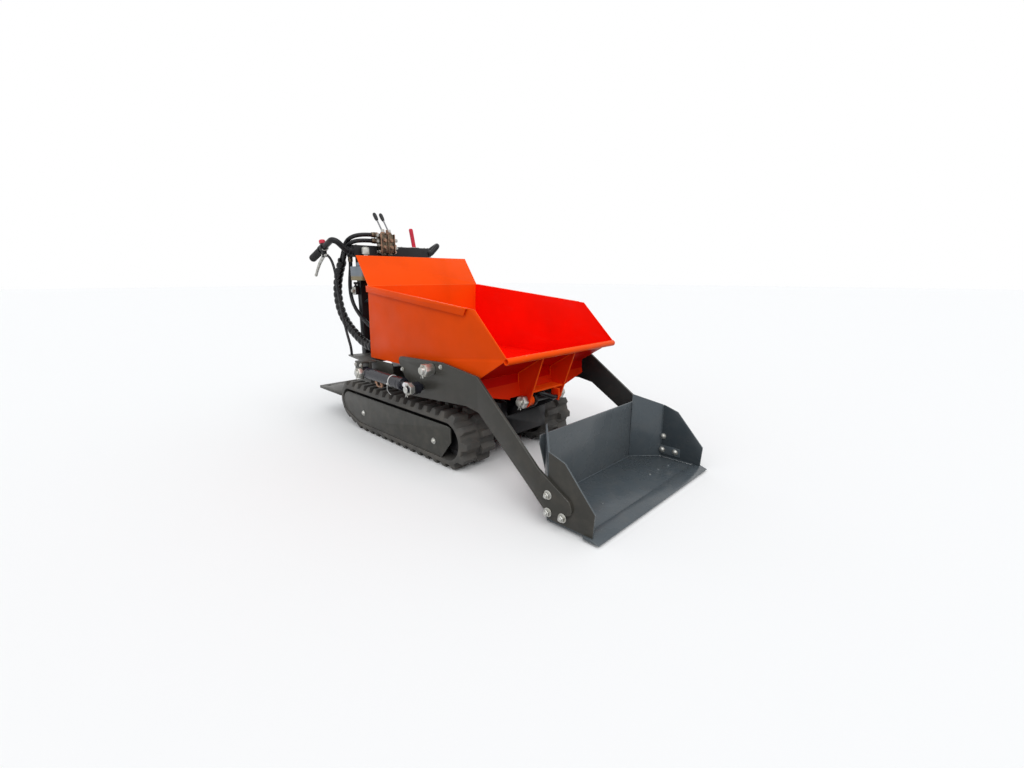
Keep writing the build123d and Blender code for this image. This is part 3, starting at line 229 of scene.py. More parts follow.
def bent(name, route, thick, order=3, rounds=4, swell=None):
    """Bar, wire or bead along a smooth line, made a mesh."""
    alone(smooth_line(name, route, thick, order, rounds, 6, swell))
    bpy.ops.object.convert(target="MESH")
    return named(name)


def bead(name, start, end, thick):
    """Weld bead that swells a little along its run."""
    start, end = Vector(start), Vector(end)
    count = max(6, int((end - start).length / 5))
    route = [start.lerp(end, index / count) for index in range(count + 1)]
    return bent(name, route, thick, 2, 2, lambda index: 0.82 + 0.2 * ((index * 7) % 5) / 4)


def slotted(name, wide, tall, slots, thick):
    """Plate with a row of upright slots, lying flat at the origin."""
    columns = 2 * slots + 1
    bpy.ops.mesh.primitive_grid_add(x_subdivisions=columns, y_subdivisions=5, size=1)
    piece = named(name)
    piece.scale = (wide / 1000, tall / 1000, 1)
    keep_place()
    pitch = wide / columns
    pick_faces(piece, lambda at, way: abs(at.y) < tall * 0.35 and round((at.x + wide / 2) / pitch - 0.5) % 2 == 1)
    bpy.ops.mesh.delete(type="FACE")
    mode("OBJECT")
    wall = piece.modifiers.new("plate", "SOLIDIFY")
    wall.thickness = thick / 1000
    bpy.ops.object.modifier_apply(modifier=wall.name)
    return soften(piece, 0.35, 1, 60)


def copies(master, name, places):
    """Copy a modelled piece to each place and lead, and join the copies."""
    made = []
    for at, lead in places:
        alone(master)
        bpy.ops.object.duplicate(linked=False)
        made.append(put(bpy.context.active_object, at, lead))
    return joined(name, made)


def paint(piece, finish, where=None):
    """Give a finish to a piece, or to the faces that lie where the test says."""
    if where is None:
        piece.data.materials.clear()
        piece.data.materials.append(finish)
        return piece
    pick_faces(piece, where)
    if finish.name not in piece.data.materials:
        piece.data.materials.append(finish)
    piece.active_material_index = piece.data.materials.find(finish.name)
    bpy.ops.object.material_slot_assign()
    mode("OBJECT")
    return piece


def mount(piece, body, angle=38):
    """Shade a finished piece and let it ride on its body."""
    smooth(piece, angle)
    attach(piece, body)
    return piece


def fit(name, pieces, finish, angle=38, body="chassis"):
    """Join pieces into one with a single finish, and mount it."""
    return mount(paint(joined(name, pieces), finish), body, angle)


def stands_for(piece, node, angle=38):
    """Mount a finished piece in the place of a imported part."""
    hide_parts(node)
    return mount(piece, BODY_OF[node], angle)


def bare_copy(node):
    """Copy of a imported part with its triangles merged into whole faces."""
    piece = alone(placed("dressed_" + node, nodes[node].data.copy()))
    if piece.data.has_custom_normals:
        bpy.ops.mesh.customdata_custom_splitnormals_clear()
    mode("EDIT")
    bpy.ops.mesh.select_all(action="SELECT")
    bpy.ops.mesh.remove_doubles(threshold=0.00002)
    bpy.ops.mesh.dissolve_limited(angle_limit=math.radians(0.6))
    mode("OBJECT")
    return piece


def dressed(node, finish, edge, rim=None, segments=2):
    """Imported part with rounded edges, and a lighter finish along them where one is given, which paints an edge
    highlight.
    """
    piece = bare_copy(node)
    paint(piece, finish)
    if rim:
        piece.data.materials.append(rim)
    if edge:
        soften(piece, edge, segments, 32, 1 if rim else -1)
    return stands_for(piece, node)


# Finishes


def blank(name, colour, rough, metal=0.0, shine=0.5):
    """New finish with its plain values on the shader's own sockets."""
    finish = bpy.data.materials.new(name)
    finish.use_nodes = True
    shader = finish.node_tree.nodes["Principled BSDF"]
    shader.inputs["Base Color"].default_value = (*colour, 1)
    shader.inputs["Roughness"].default_value = rough
    shader.inputs["Metallic"].default_value = metal
    shader.inputs["Specular IOR Level"].default_value = shine
    return finish, finish.node_tree, shader


def grain(tree, scale, detail=3.0, stretch=(1, 1, 1)):
    """Noise that is fixed to the piece."""
    place = tree.nodes.new("ShaderNodeTexCoord")
    turn = tree.nodes.new("ShaderNodeMapping")
    turn.inputs["Scale"].default_value = stretch
    noise = tree.nodes.new("ShaderNodeTexNoise")
    noise.inputs["Scale"].default_value = scale
    noise.inputs["Detail"].default_value = detail
    tree.links.new(place.outputs["Object"], turn.inputs["Vector"])
    tree.links.new(turn.outputs["Vector"], noise.inputs["Vector"])
    return noise.outputs["Fac"]


def spread(tree, source, low, high, least=0.3, most=0.7):
    """Spread a pattern between two values."""
    span = tree.nodes.new("ShaderNodeMapRange")
    span.inputs["From Min"].default_value = least
    span.inputs["From Max"].default_value = most
    span.inputs["To Min"].default_value = low
    span.inputs["To Max"].default_value = high
    tree.links.new(source, span.inputs["Value"])
    return span.outputs["Result"]


def shades(tree, source, stops):
    """Colours laid along a pattern."""
    ramp = tree.nodes.new("ShaderNodeValToRGB")
    band = ramp.color_ramp
    while len(band.elements) < len(stops):
        band.elements.new(0.5)
    for element, (place, colour) in zip(band.elements, stops):
        element.position = place
        element.color = (*colour, 1)
    tree.links.new(source, ramp.inputs["Fac"])
    return ramp.outputs["Color"]


def over(tree, share, under, top):
    """Lay one colour over another by a share."""
    mix = tree.nodes.new("ShaderNodeMix")
    mix.data_type = "RGBA"
    tree.links.new(share, mix.inputs["Factor"])
    tree.links.new(under, mix.inputs["A"])
    mix.inputs["B"].default_value = (*top, 1)
    return mix.outputs["Result"]


def times(tree, one, other):
    """Product of two patterns, or of a pattern and a number."""
    node = tree.nodes.new("ShaderNodeMath")
    node.operation = "MULTIPLY"
    tree.links.new(one, node.inputs[0])
    if isinstance(other, float):
        node.inputs[1].default_value = other
    else:
        tree.links.new(other, node.inputs[1])
    return node.outputs["Value"]


def height(tree):
    """Height above the ground, on the piece."""
    place = tree.nodes.new("ShaderNodeTexCoord")
    split = tree.nodes.new("ShaderNodeSeparateXYZ")
    tree.links.new(place.outputs["Object"], split.inputs["Vector"])
    return split.outputs["Z"]


def lay_on(tree, shader, colour, rough, relief, depth, strength):
    """Colour, roughness and bump from their patterns; the bump's depth is in millimetres."""
    bump = tree.nodes.new("ShaderNodeBump")
    bump.inputs["Strength"].default_value = strength
    bump.inputs["Distance"].default_value = depth / 1000
    tree.links.new(relief, bump.inputs["Height"])
    for source, socket in ((colour, "Base Color"), (rough, "Roughness"), (bump.outputs["Normal"], "Normal")):
        tree.links.new(source, shader.inputs[socket])


def shade(colour, share):
    """Lighter or darker tone of a colour."""
    return tuple(min(1.0, value * share) for value in colour)


DUST = (0.20, 0.17, 0.135)


def powder_coat(name, colour, rough, shine, dust, scuff=0.0, chips=0.0):
    """Sprayed and baked paint: cloudy tone, fine orange peel, dust low down, scuffs and chips where it is used."""
    finish, tree, shader = blank(name, colour, rough, 0.0, shine)
    cloud = grain(tree, 5.0, 5.0)
    base = shades(tree, cloud, [(0.32, shade(colour, 0.91)), (0.55, colour), (0.75, shade(colour, 1.06))])
    low = spread(tree, height(tree), 1.0, 0.12, 0.02, 0.45)
    dusty = times(tree, times(tree, spread(tree, grain(tree, 23.0, 6.0), 0.0, 1.0, 0.45, 0.75), low), dust)
    base = over(tree, dusty, base, DUST)
    if scuff:
        streak = spread(tree, grain(tree, 34.0, 5.0, (0.3, 3.5, 1.0)), 0.0, 1.0, 0.56, 0.74)
        base = over(tree, times(tree, streak, scuff), base, tuple(0.55 * value + 0.12 for value in colour))
    if chips:
        chip = spread(tree, grain(tree, 55.0, 7.0), 0.0, 1.0, 0.60, 0.64)
        base = over(tree, times(tree, chip, chips), base, (0.34, 0.33, 0.31))
    mottle = spread(tree, grain(tree, 14.0, 6.0), rough - 0.06, rough + 0.09)
    lay_on(tree, shader, base, mottle, grain(tree, 420.0, 2.0), 0.12, 0.30)
    return finish


def moulded(name, colour, rough, depth, scale, worn=0.0, shine=0.4):
    """Moulded plastic or rubber with a fine skin."""
    finish, tree, shader = blank(name, colour, rough, 0.0, shine)
    cloud = grain(tree, 9.0, 5.0)
    base = shades(tree, cloud, [(0.3, shade(colour, 0.8)), (0.6, colour), (0.8, shade(colour, 1.35))])
    if worn:
        base = over(tree, spread(tree, grain(tree, 17.0, 7.0), 0.0, worn, 0.42, 0.72), base, DUST)
    mottle = spread(tree, grain(tree, 30.0, 5.0), rough - 0.08, rough + 0.1)
    lay_on(tree, shader, base, mottle, grain(tree, scale, 3.0), depth, 0.6)
    return finish


def bare_metal(name, colour, rough, depth, scale, tint=None, metal=1.0):
    """Plated, cast or machined metal with its own mottling."""
    finish, tree, shader = blank(name, colour, rough, metal)
    other = tint or shade(colour, 0.72)
    base = shades(tree, grain(tree, 60.0, 5.0), [(0.34, other), (0.58, colour), (0.78, shade(colour, 1.12))])
    mottle = spread(tree, grain(tree, 90.0, 4.0), rough - 0.07, rough + 0.12)
    lay_on(tree, shader, base, mottle, grain(tree, scale, 3.0), depth, 0.5)
    return finish


def oil_tank_grey():
    """Pale tank shell with the oil showing as an amber band along its foot."""
    finish, tree, shader = blank("tank_grey", (0.20, 0.23, 0.27), 0.40, 0.0, 0.4)
    tone = shades(tree, grain(tree, 11.0, 5.0), [(0.3, (0.17, 0.20, 0.235)), (0.7, (0.24, 0.27, 0.31))])
    band = spread(tree, height(tree), 1.0, 0.0, 0.782, 0.790)
    base = over(tree, times(tree, band, 0.8), tone, (0.30, 0.22, 0.075))
    lay_on(tree, shader, base, spread(tree, grain(tree, 30.0, 5.0), 0.32, 0.5), grain(tree, 700.0, 3.0), 0.1, 0.5)
    return finish


skip_orange = powder_coat("skip_orange", (0.95, 0.084, 0.003), 0.38, 0.06, 0.06)
# Lighter orange along the bevelled edges: a painted edge highlight, with chips of real wear.
skip_rim_painted_highlight_and_chips = powder_coat("skip_orange_rim_painted_highlight_and_chips", (0.97, 0.15, 0.018), 0.36, 0.12, 0.05, 0.0, 0.2)
# Deeper red for the skip's inner faces: painted shade and reflected light on the same orange paint.
skip_painted_shade_inside = powder_coat("skip_inside_red_painted_shade", (0.94, 0.006, 0.001), 0.38, 0.04, 0.03, 0.03)
# Dark red for the skip's downward faces: painted shade under the skip.
skip_painted_shade_under = powder_coat("skip_underside_painted_shade", (0.66, 0.004, 0.001), 0.40, 0.03, 0.02)
# Deeper orange-red for the apron's lower flare and the rib side faces: painted shade.
skip_apron_painted_shade = powder_coat("skip_apron_painted_shade", (0.80, 0.026, 0.002), 0.40, 0.05, 0.03)
arm_grey = powder_coat("arm_anthracite", (0.046, 0.044, 0.038), 0.36, 0.26, 0.16)
# Lighter grey along bevelled edges: a painted edge highlight, with chips of real wear.
arm_rim_painted_highlight_and_chips = powder_coat("arm_anthracite_rim_painted_highlight_and_chips", (0.105, 0.105, 0.098), 0.38, 0.35, 0.16, 0.0, 0.45)
shovel_grey = powder_coat("shovel_blue_grey", (0.072, 0.087, 0.098), 0.26, 0.34, 0.10, 0.07)
# Lighter blue-grey for the shovel's back plate: painted reflection on the same shovel paint.
shovel_back_painted_reflection = powder_coat("shovel_back_painted_reflection", (0.090, 0.103, 0.112), 0.26, 0.34, 0.10, 0.07)
# Darker blue-grey for the inner faces of the shovel sides: painted shade on the same shovel paint.
shovel_flank_painted_shade = powder_coat("shovel_flank_painted_shade", (0.046, 0.057, 0.065), 0.24, 0.34, 0.08, 0.12)
# Lighter blue-grey along bevelled edges: a painted edge highlight, with chips of real wear.
shovel_rim_painted_highlight_and_chips = powder_coat("shovel_rim_painted_highlight_and_chips", (0.125, 0.142, 0.15), 0.36, 0.35, 0.10, 0.0, 0.5)
# Near-black for the arms' inner faces: painted shade between the arms.
arm_inside_painted_shade = powder_coat("arm_inside_painted_shade", (0.020, 0.020, 0.020), 0.40, 0.20, 0.14)
cover_grey = powder_coat("cover_grey", (0.050, 0.049, 0.043), 0.38, 0.26, 0.20)
frame_black = powder_coat("frame_black", (0.014, 0.014, 0.016), 0.34, 0.20, 0.14)
barrel_blue = powder_coat("barrel_blue_black", (0.013, 0.014, 0.022), 0.24, 0.45, 0.10)
track_rubber = moulded("track_rubber", (0.078, 0.075, 0.070), 0.62, 0.5, 240.0, 0.28, 0.30)
grip_rubber = moulded("grip_rubber", (0.015, 0.015, 0.016), 0.56, 0.2, 700.0, 0.0, 0.25)
hose_black = moulded("hose_black", (0.010, 0.010, 0.012), 0.28, 0.06, 900.0, 0.0, 0.25)
guard_black = moulded("guard_black", (0.007, 0.007, 0.008), 0.17, 0.01, 500.0, 0.0, 0.30)
plastic_black = moulded("plastic_black", (0.015, 0.015, 0.017), 0.42, 0.15, 1100.0, 0.0, 0.28)
red_plastic = moulded("lever_red", (0.68, 0.034, 0.068), 0.36, 0.08, 700.0, 0.0, 0.3)
tie_white = moulded("tie_white", (0.72, 0.72, 0.70), 0.45, 0.05, 900.0)
porcelain = moulded("plug_porcelain", (0.75, 0.74, 0.70), 0.25, 0.02, 600.0)
tank_grey = oil_tank_grey()
zinc = bare_metal("zinc_plate", (0.52, 0.52, 0.50), 0.40, 0.05, 600.0, tint=(0.40, 0.39, 0.34), metal=0.85)
lever_steel = bare_metal("lever_steel", (0.20, 0.20, 0.21), 0.36, 0.03, 700.0, metal=0.7)
chrome = bare_metal("hard_chrome", (0.74, 0.74, 0.76), 0.10, 0.01, 900.0)
bronze = bare_metal("bronze_fitting", (0.165, 0.125, 0.085), 0.34, 0.08, 400.0, tint=(0.055, 0.045, 0.038))
copper = bare_metal("copper_fitting", (0.36, 0.215, 0.145), 0.42, 0.05, 500.0, tint=(0.18, 0.11, 0.08))
cast_iron = bare_metal("cast_iron", (0.10, 0.10, 0.105), 0.58, 0.35, 260.0, metal=0.6)
cast_alloy = bare_metal("cast_alloy", (0.40, 0.40, 0.41), 0.48, 0.25, 340.0)
pressed_steel = bare_metal("muffler_steel", (0.34, 0.32, 0.30), 0.42, 0.10, 300.0, tint=(0.22, 0.17, 0.13))


# Camera, light and floor

VIEW_AZ, VIEW_EL = math.radians(44.3), math.radians(13.1)
back = Vector((math.sin(VIEW_AZ) * math.cos(VIEW_EL), -math.cos(VIEW_AZ) * math.cos(VIEW_EL), math.sin(VIEW_EL)))
lens = bpy.data.cameras.new("photo_camera")
lens.sensor_width = 36.0
lens.lens = 16.30
lens.clip_end = 200.0
camera = placed("photo_camera", lens)
camera.location = (1.6707, -1.4495, 0.7865)
camera.rotation_euler = back.to_track_quat("Z", "Y").to_euler()
bpy.context.scene.camera = camera
bpy.context.scene.view_settings.view_transform = "Standard"


def soft_sun(name, way, power, wide):
    """Broad soft light that comes from one way."""
    light = bpy.data.lights.new(name, "SUN")
    light.energy = power
    light.angle = math.radians(wide)
    placed(name, light).rotation_euler = Vector(way).to_track_quat("Z", "Y").to_euler()


soft_sun("key_light", (0.75, -0.12, 1.0), 1.14, 50)
soft_sun("side_light", (0.15, -1.0, 0.70), 0.52, 70)
soft_sun("glint_light", (0.50, -0.85, 0.90), 0.24, 7)


def bright_to_eye(tree):
    """One where the eye, a mirror or clear glass looks, and nought for the light on the object."""
    path = tree.nodes.new("ShaderNodeLightPath")
    last = path.outputs["Is Camera Ray"]
    for kind in ("Is Glossy Ray", "Is Transmission Ray"):
        most = tree.nodes.new("ShaderNodeMath")
        most.operation = "MAXIMUM"
        tree.links.new(last, most.inputs[0])
        tree.links.new(path.outputs[kind], most.inputs[1])
        last = most.outputs["Value"]
    return last


world = bpy.data.worlds.new("studio")
world.use_nodes = True
bpy.context.scene.world = world
sky = world.node_tree
glow = sky.nodes["Background"]
glow.inputs["Color"].default_value = (0.94, 0.97, 1.0, 1)
glow.inputs["Strength"].default_value = 0.66
plain = sky.nodes.new("ShaderNodeBackground")
plain.inputs["Color"].default_value = (1, 1, 1, 1)
choose = sky.nodes.new("ShaderNodeMixShader")
sky.links.new(bright_to_eye(sky), choose.inputs["Fac"])
sky.links.new(glow.outputs["Background"], choose.inputs[1])
sky.links.new(plain.outputs["Background"], choose.inputs[2])
sky.links.new(choose.outputs["Shader"], sky.nodes["World Output"].inputs["Surface"])

bpy.ops.mesh.primitive_plane_add(size=80, location=(0, 0, -0.0005))
floor = named("studio_floor")
keep_place()
pale, pale_tree, pale_shader = blank("pale_floor", (0.9, 0.9, 0.9), 0.95, 0.0, 0.1)
tones = pale_tree.nodes.new("ShaderNodeMix")
tones.data_type = "RGBA"
tones.inputs["A"].default_value = (0.34, 0.34, 0.34, 1)
tones.inputs["B"].default_value = (0.915, 0.91, 0.905, 1)
pale_tree.links.new(bright_to_eye(pale_tree), tones.inputs["Factor"])
pale_tree.links.new(tones.outputs["Result"], pale_shader.inputs["Base Color"])
floor.data.materials.append(pale)


# Hoses and cables

GUARD_ROUTE = [
    (-765, -250, 868), (-808, -250, 813), (-839, -250.5, 750), (-849, -251, 681), (-832, -251, 613),
    (-791, -250.5, 556), (-736, -249, 513), (-676, -246, 477), (-613, -242, 444), (-547, -240, 426),
    (-480.3, -240, 426),
]
VALVE_ROUTES = [
    [
        (-640, -118, 998), (-640, -156, 998), (-645, -193, 996), (-660, -224, 990), (-684, -244, 977),
        (-711, -251, 957), (-733, -252, 930), (-750.9, -250, 903.1), (-773.1, -250, 874.7),
    ],
    [
        (-640, -118, 968), (-640, -152, 968), (-644, -186, 967.5), (-656, -217, 965), (-676, -239, 957),
        (-699, -250, 940), (-718, -253, 916), (-734.3, -250, 890.1), (-756.5, -250, 861.8),
    ],
]
FEED_ROUTE = [
    (-730, -222, 884.7), (-730, -222, 843), (-742, -223, 795), (-752, -224, 745), (-750, -225, 694),
    (-731, -226, 648), (-695, -227, 609), (-650, -227, 577), (-598, -226, 549), (-540, -222, 518),
    (-480.3, -222, 518),
]
CABLE_ROUTE = [
    (-789.7, 330, 892), (-762, 330, 892), (-734, 330, 877), (-710, 330, 850), (-692, 331, 813),
    (-680, 332, 766), (-668, 334, 713), (-652, 336, 656), (-632, 338, 596), (-606, 340, 529),
    (-578, 342, 472), (-553, 344, 430), (-553, 344, 395.3),
]
HINGE_HOSE_ROUTE = [
    (406.3, -38, 316), (428, -38, 316), (449, -31, 315), (466, -17, 309), (476, 1, 300), (478, 21, 291),
    (478, 39.7, 291),
]


VALVE_HOSE, FEED_HOSE, HINGE_HOSE, CABLE = 21.0, 20.0, 20.0, 13.0
GUARD_RADIUS, GUARD_PITCH, GUARD_RISE = 24.0, 34.0, 5.0
GUARD_BAND = 0.44


def lay_hose(node, route, thick):
    """Hose that stands for its packed tube."""
    piece = smooth_line("laid_" + node, route, thick)
    piece.data.materials.append(hose_black)
    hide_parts(node)
    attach(piece, BODY_OF[node])
    return piece


def ferrule(name, at, lead, thick):
    """Crimped sleeve with a hexagon at a hose's end."""
    wide = thick / 2 + 1.0
    crimps = []
    for step in range(2):
        start = 9 + 7 * step
        crimps += [(start, wide + 0.6), (start + 1, wide + 1.8), (start + 5, wide + 1.8), (start + 6, wide + 0.6)]
    sleeve = turned(name + "_sleeve", crimps + [(24, wide + 0.2)], 28, at, lead)
    hexagon = turned(name + "_hex", [(-1, wide + 0.5), (0, wide + 3), (8, wide + 3), (9, wide)], 6, at, lead)
    return fit(name, [sleeve, hexagon], bronze, 30)


def spiral_guard(name, route, radius, pitch):
    """Hose bundle in its spiral wrap; half its band is GUARD_BAND of the pitch."""
    guide = smooth_line(name + "_line", route, 0, 3, 0, 48)
    bpy.context.view_layer.update()
    rail = bpy.data.meshes.new_from_object(guide.evaluated_get(bpy.context.evaluated_depsgraph_get()))
    points = [vertex.co.copy() for vertex in rail.vertices]
    bpy.data.objects.remove(guide)
    around = 28
    verts, faces = [], []
    side = Vector((0, 1, 0))
    travelled = 0.0
    for index, point in enumerate(points):
        ahead = (points[min(index + 1, len(points) - 1)] - points[max(index - 1, 0)]).normalized()
        side = (side - ahead * side.dot(ahead)).normalized()
        other = ahead.cross(side)
        if index:
            travelled += (point - points[index - 1]).length * 1000
        for step in range(around):
            angle = 2 * math.pi * step / around
            phase = (travelled / pitch - step / around) % 1.0
            off = (phase - GUARD_BAND) / GUARD_BAND
            crown = math.sqrt(max(0.0, 1 - off * off))
            reach = (radius - GUARD_RISE + GUARD_RISE * crown) / 1000
            verts.append(point + (side * math.cos(angle) + other * math.sin(angle)) * reach)
    for index in range(len(points) - 1):
        for step in range(around):
            a = index * around + step
            b = index * around + (step + 1) % around
            faces.append((a, b, b + around, a + around))
    faces.append(tuple(reversed(range(around))))
    faces.append(tuple(range((len(points) - 1) * around, len(points) * around)))
    mesh = bpy.data.meshes.new(name)
    mesh.from_pydata(verts, [], faces)
    piece = alone(placed(name, mesh))
    mode("EDIT")
    bpy.ops.mesh.select_all(action="SELECT")
    bpy.ops.mesh.normals_make_consistent(inside=False)
    mode("OBJECT")
    return piece, [tuple(point) for point in points]


bundle, bundle_path = spiral_guard("laid_hose_bundle", GUARD_ROUTE, GUARD_RADIUS, GUARD_PITCH)
paint(bundle, guard_black)
stands_for(bundle, "hose_bundle", 50)
for count, (route, length) in enumerate(zip(VALVE_ROUTES, (0.280, 0.259)), 1):
    end = ferrule(f"valve_hose_end_{count}", route[0], (0, -1, 0), VALVE_HOSE)
    lay_hose(f"valve_hose_{count}", route, VALVE_HOSE)
feed_ends = [
    ferrule("feed_hose_top_end", FEED_ROUTE[0], (0, 0, -1), FEED_HOSE),
    ferrule("feed_hose_low_end", FEED_ROUTE[-1], (-1, 0, 0), FEED_HOSE),
]
lay_hose("feed_hose", FEED_ROUTE, FEED_HOSE)
lay_hose("hinge_hose", HINGE_HOSE_ROUTE, HINGE_HOSE)
for side, sign in SIDES:
    lay_hose(f"clutch_cable_{side}", [(x, sign * y, z) for x, y, z in CABLE_ROUTE], CABLE)


# Fasteners, modelled once and copied

washer = ring("master_washer", 15.5, 8.2, 2.5, (0, 0, 0), (0, 0, 1), 32)
head = turned("master_head", [(2.2, 10.6), (2.6, 11.4), (10.5, 11.4), (12.4, 9.4)], 6)
stub = turned("master_stub", [(11, 7.0), (15.5, 7.0), (17, 5.6)], 20)
bolt = paint(joined("master_bolt", [washer, head, stub]), zinc)
washer = ring("master_small_washer", 9.5, 5, 1.6, (0, 0, 0), (0, 0, 1), 24, 0.4)
head = turned("master_small_head", [(1.4, 6.6), (1.7, 7.2), (6.2, 7.2), (7.2, 6.2)], 6)
small_bolt = paint(joined("master_small_bolt", [washer, head]), zinc)
dome = turned("master_dome", [(0, 13.5), (2.0, 13.5), (2.2, 10.8), (6.0, 9.6), (8.6, 6.8), (9.8, 3.0)], 28)
paint(dome, zinc)
screw = turned("master_screw", [(0, 5.2), (1.6, 5.0), (2.8, 3.6), (2.8, 2.0), (1.6, 1.8)], 20)
paint(screw, zinc)
cotter = bent("master_cotter", [
    (7, 0, -31), (3, 0, -22), (1.7, 0, -10), (1.7, 0, 16), (4.2, 0, 20), (0, 0, 25), (-4.2, 0, 20),
    (-1.7, 0, 16), (-1.7, 0, -10), (-3, 0, -22), (-9, 0, -29),
], 2.6)
paint(cotter, zinc)


def fasten(master, name, places, body="chassis", angle=30):
    """Copies of a fastener at their places."""
    return mount(copies(master, name, places), body, angle)


def both_sides(*runs):
    """Weld runs repeated on each side of the machine."""
    return [
        (*((x, sign * y, z) for x, y, z in (start, end)), thick) for side, sign in SIDES for start, end, thick in runs
    ]


def weld(name, runs, finish, body):
    """Weld beads along their runs, made one piece."""
    return fit(name, [bead("seam", *run) for run in runs], finish, 60, body)


# Skip

WALL_OUTSIDE, FLOOR_TOP, FLOOR_LOW = 334, 405, 395
LIP_FOLD, APRON_TOP = 535, 366

# The inner faces of the skip's walls take the painted inside shade.
for side, sign in SIDES:
    panel = dressed(f"skip_side_{side}", skip_orange, 1.0, skip_rim_painted_highlight_and_chips)
    paint(panel, skip_painted_shade_inside, lambda at, way: way.y * sign < -0.9 and abs(at.y) < WALL_OUTSIDE)
# The floor and front panel take the painted inside shade on their upper faces and the painted underside shade on their
# lower faces.
skip_floor = dressed("skip_floor", skip_orange, 1.0)
paint(skip_floor, skip_painted_shade_inside, lambda at, way: way.z > 0.7 and at.z > FLOOR_TOP)
paint(skip_floor, skip_painted_shade_under, lambda at, way: way.z < -0.7 and at.z > FLOOR_LOW)
skip_front = dressed("skip_front", skip_orange, 0.8)
paint(skip_front, skip_painted_shade_inside, lambda at, way: way.z > 0.5 and at.x < LIP_FOLD)
paint(skip_front, skip_painted_shade_under, lambda at, way: way.z < -0.5 and at.x < LIP_FOLD and at.z > FLOOR_LOW)
# The bevels of the skip's panels take the painted edge highlight.
dressed("skip_rear", skip_orange, 1.0, skip_rim_painted_highlight_and_chips)
ribs = dressed("skip_hinge_ribs", skip_orange, 1.0, skip_rim_painted_highlight_and_chips)
# The apron's upper band takes the painted underside shade.
paint(ribs, skip_painted_shade_under, lambda at, way: way.x > 0.9 and at.z > APRON_TOP and at.x < 405)
# The apron's lower flare and the rib side faces take the painted apron shade.
paint(ribs, skip_apron_painted_shade, lambda at, way: way.x > 0.7 and at.z < APRON_TOP and at.x < 420)
paint(ribs, skip_apron_painted_shade, lambda at, way: abs(way.y) > 0.95 and abs(at.y) < 330)

# The inside seams take the same painted inside shade.
weld("skip_inside_seams", both_sides(
    ((-366, 331, 408), (394, 331, 408), 5), ((396, 331, 408.5), (545, 331, 500), 5),
    ((-366, 331, 410), (-353, 331, 738), 5),
) + [((-366, -330, 408.5), (-366, 330, 408.5), 5)], skip_painted_shade_inside, "skip")
weld("skip_rib_seams", both_sides(*(run for face in (96, 106) for run in (
    ((397, face, 402), (524, face, 480), 5), ((396.5, face, 401), (396.5, face, APRON_TOP), 4.5),
))), skip_orange, "skip")


# Loader arms and shovel

for side, sign in SIDES:
    # The arm's bevels take the painted edge highlight.
    arm = dressed(f"loader_arm_{side}", arm_grey, 1.8, arm_rim_painted_highlight_and_chips)
    # The arm's inner face takes the painted shade.
    paint(arm, arm_inside_painted_shade, lambda at, way: way.y * sign < -0.9)
    # The shovel plates' bevels take the painted edge highlight.
    flank = dressed(f"shovel_side_{side}", shovel_grey, 1.3, shovel_rim_painted_highlight_and_chips)
    paint(flank, arm_grey, lambda at, way: way.y * sign > 0.9)
    # The side's inner face takes the painted shade.
    paint(flank, shovel_flank_painted_shade, lambda at, way: way.y * sign < -0.9)
    dressed(f"shovel_wing_{side}", shovel_grey, 1.0, shovel_rim_painted_highlight_and_chips)
dressed("shovel_floor", shovel_grey, 1.0, shovel_rim_painted_highlight_and_chips)
# The back plate takes the painted reflection.
dressed("shovel_back", shovel_back_painted_reflection, 1.0, shovel_rim_painted_highlight_and_chips)
dressed("cutting_edge", shovel_grey, 1.2, shovel_rim_painted_highlight_and_chips)

weld("shovel_weld_seams", both_sides(
    ((702, 281, 16), (702, 281, 260), 4.5), ((704, 282, 15.5), (794, 379, 15.5), 4.6),
    ((797, 383, 16), (938, 383, 16), 5.2), ((796, 381, 18), (796, 381, 245), 4),
) + [((702, -278, 15.5), (702, 278, 15.5), 5)], shovel_grey, "loader")

BOLT_XZ = ((804, 108), (805, 48), (864, 50))
ARM_FACE, SHOVEL_FACE = 398, 382
STRAP, STRAP_Z = 4, (30, 68)
for side, sign in SIDES:
    fasten(bolt, f"arm_bolts_{side}", [((x, sign * ARM_FACE, z), (0, sign, 0)) for x, z in BOLT_XZ], "loader")
    fasten(dome, f"shovel_bolt_heads_{side}", [
        ((x, sign * (SHOVEL_FACE - (STRAP if z < STRAP_Z[1] else 0)), z), (0, -sign, 0)) for x, z in BOLT_XZ
    ], "loader")
    strap = side_box(f"bolt_strap_{side}", sign, (786, 886), (377.5, 382.5), STRAP_Z, 2.0)
    mount(paint(strap, shovel_grey), "loader")
    rivets = copies(screw, f"floor_bolt_heads_{side}", [
        ((x, sign * y, 13.6), (0, 0, 1)) for x, y in ((860, 237), (872, 305), (861, 169))
    ])
    # The floor bolt heads take the same lighter grey: a painted highlight with chips.
    mount(paint(rivets, shovel_rim_painted_highlight_and_chips), "loader", 30)
    fasten(small_bolt, f"arm_small_bolts_{side}", [
        ((x, sign * 363, z), (0, sign, 0)) for x, z in ((-55, 392), (219, 438))
    ], "loader")


# Undercarriage

WHEELS = ((210, 122, 82), (-623, 139, 65), (-522, 85, 45))
TRACK_OUT, TRACK_IN, LUG_FOOT = 345, 165, 28
COVER_MIDDLE, COVER_DROP = 150, 13


def above_belt(x, z):
    """How far a point stands out from the belt's inner line."""
    most = -1e9
    for step in range(180):
        angle = 2 * math.pi * step / 180
        along, up = math.cos(angle), math.sin(angle)
        reach = max(along * wheel_x + up * wheel_z + radius for wheel_x, wheel_z, radius in WHEELS)
        most = max(most, along * x + up * z - reach)
    return most


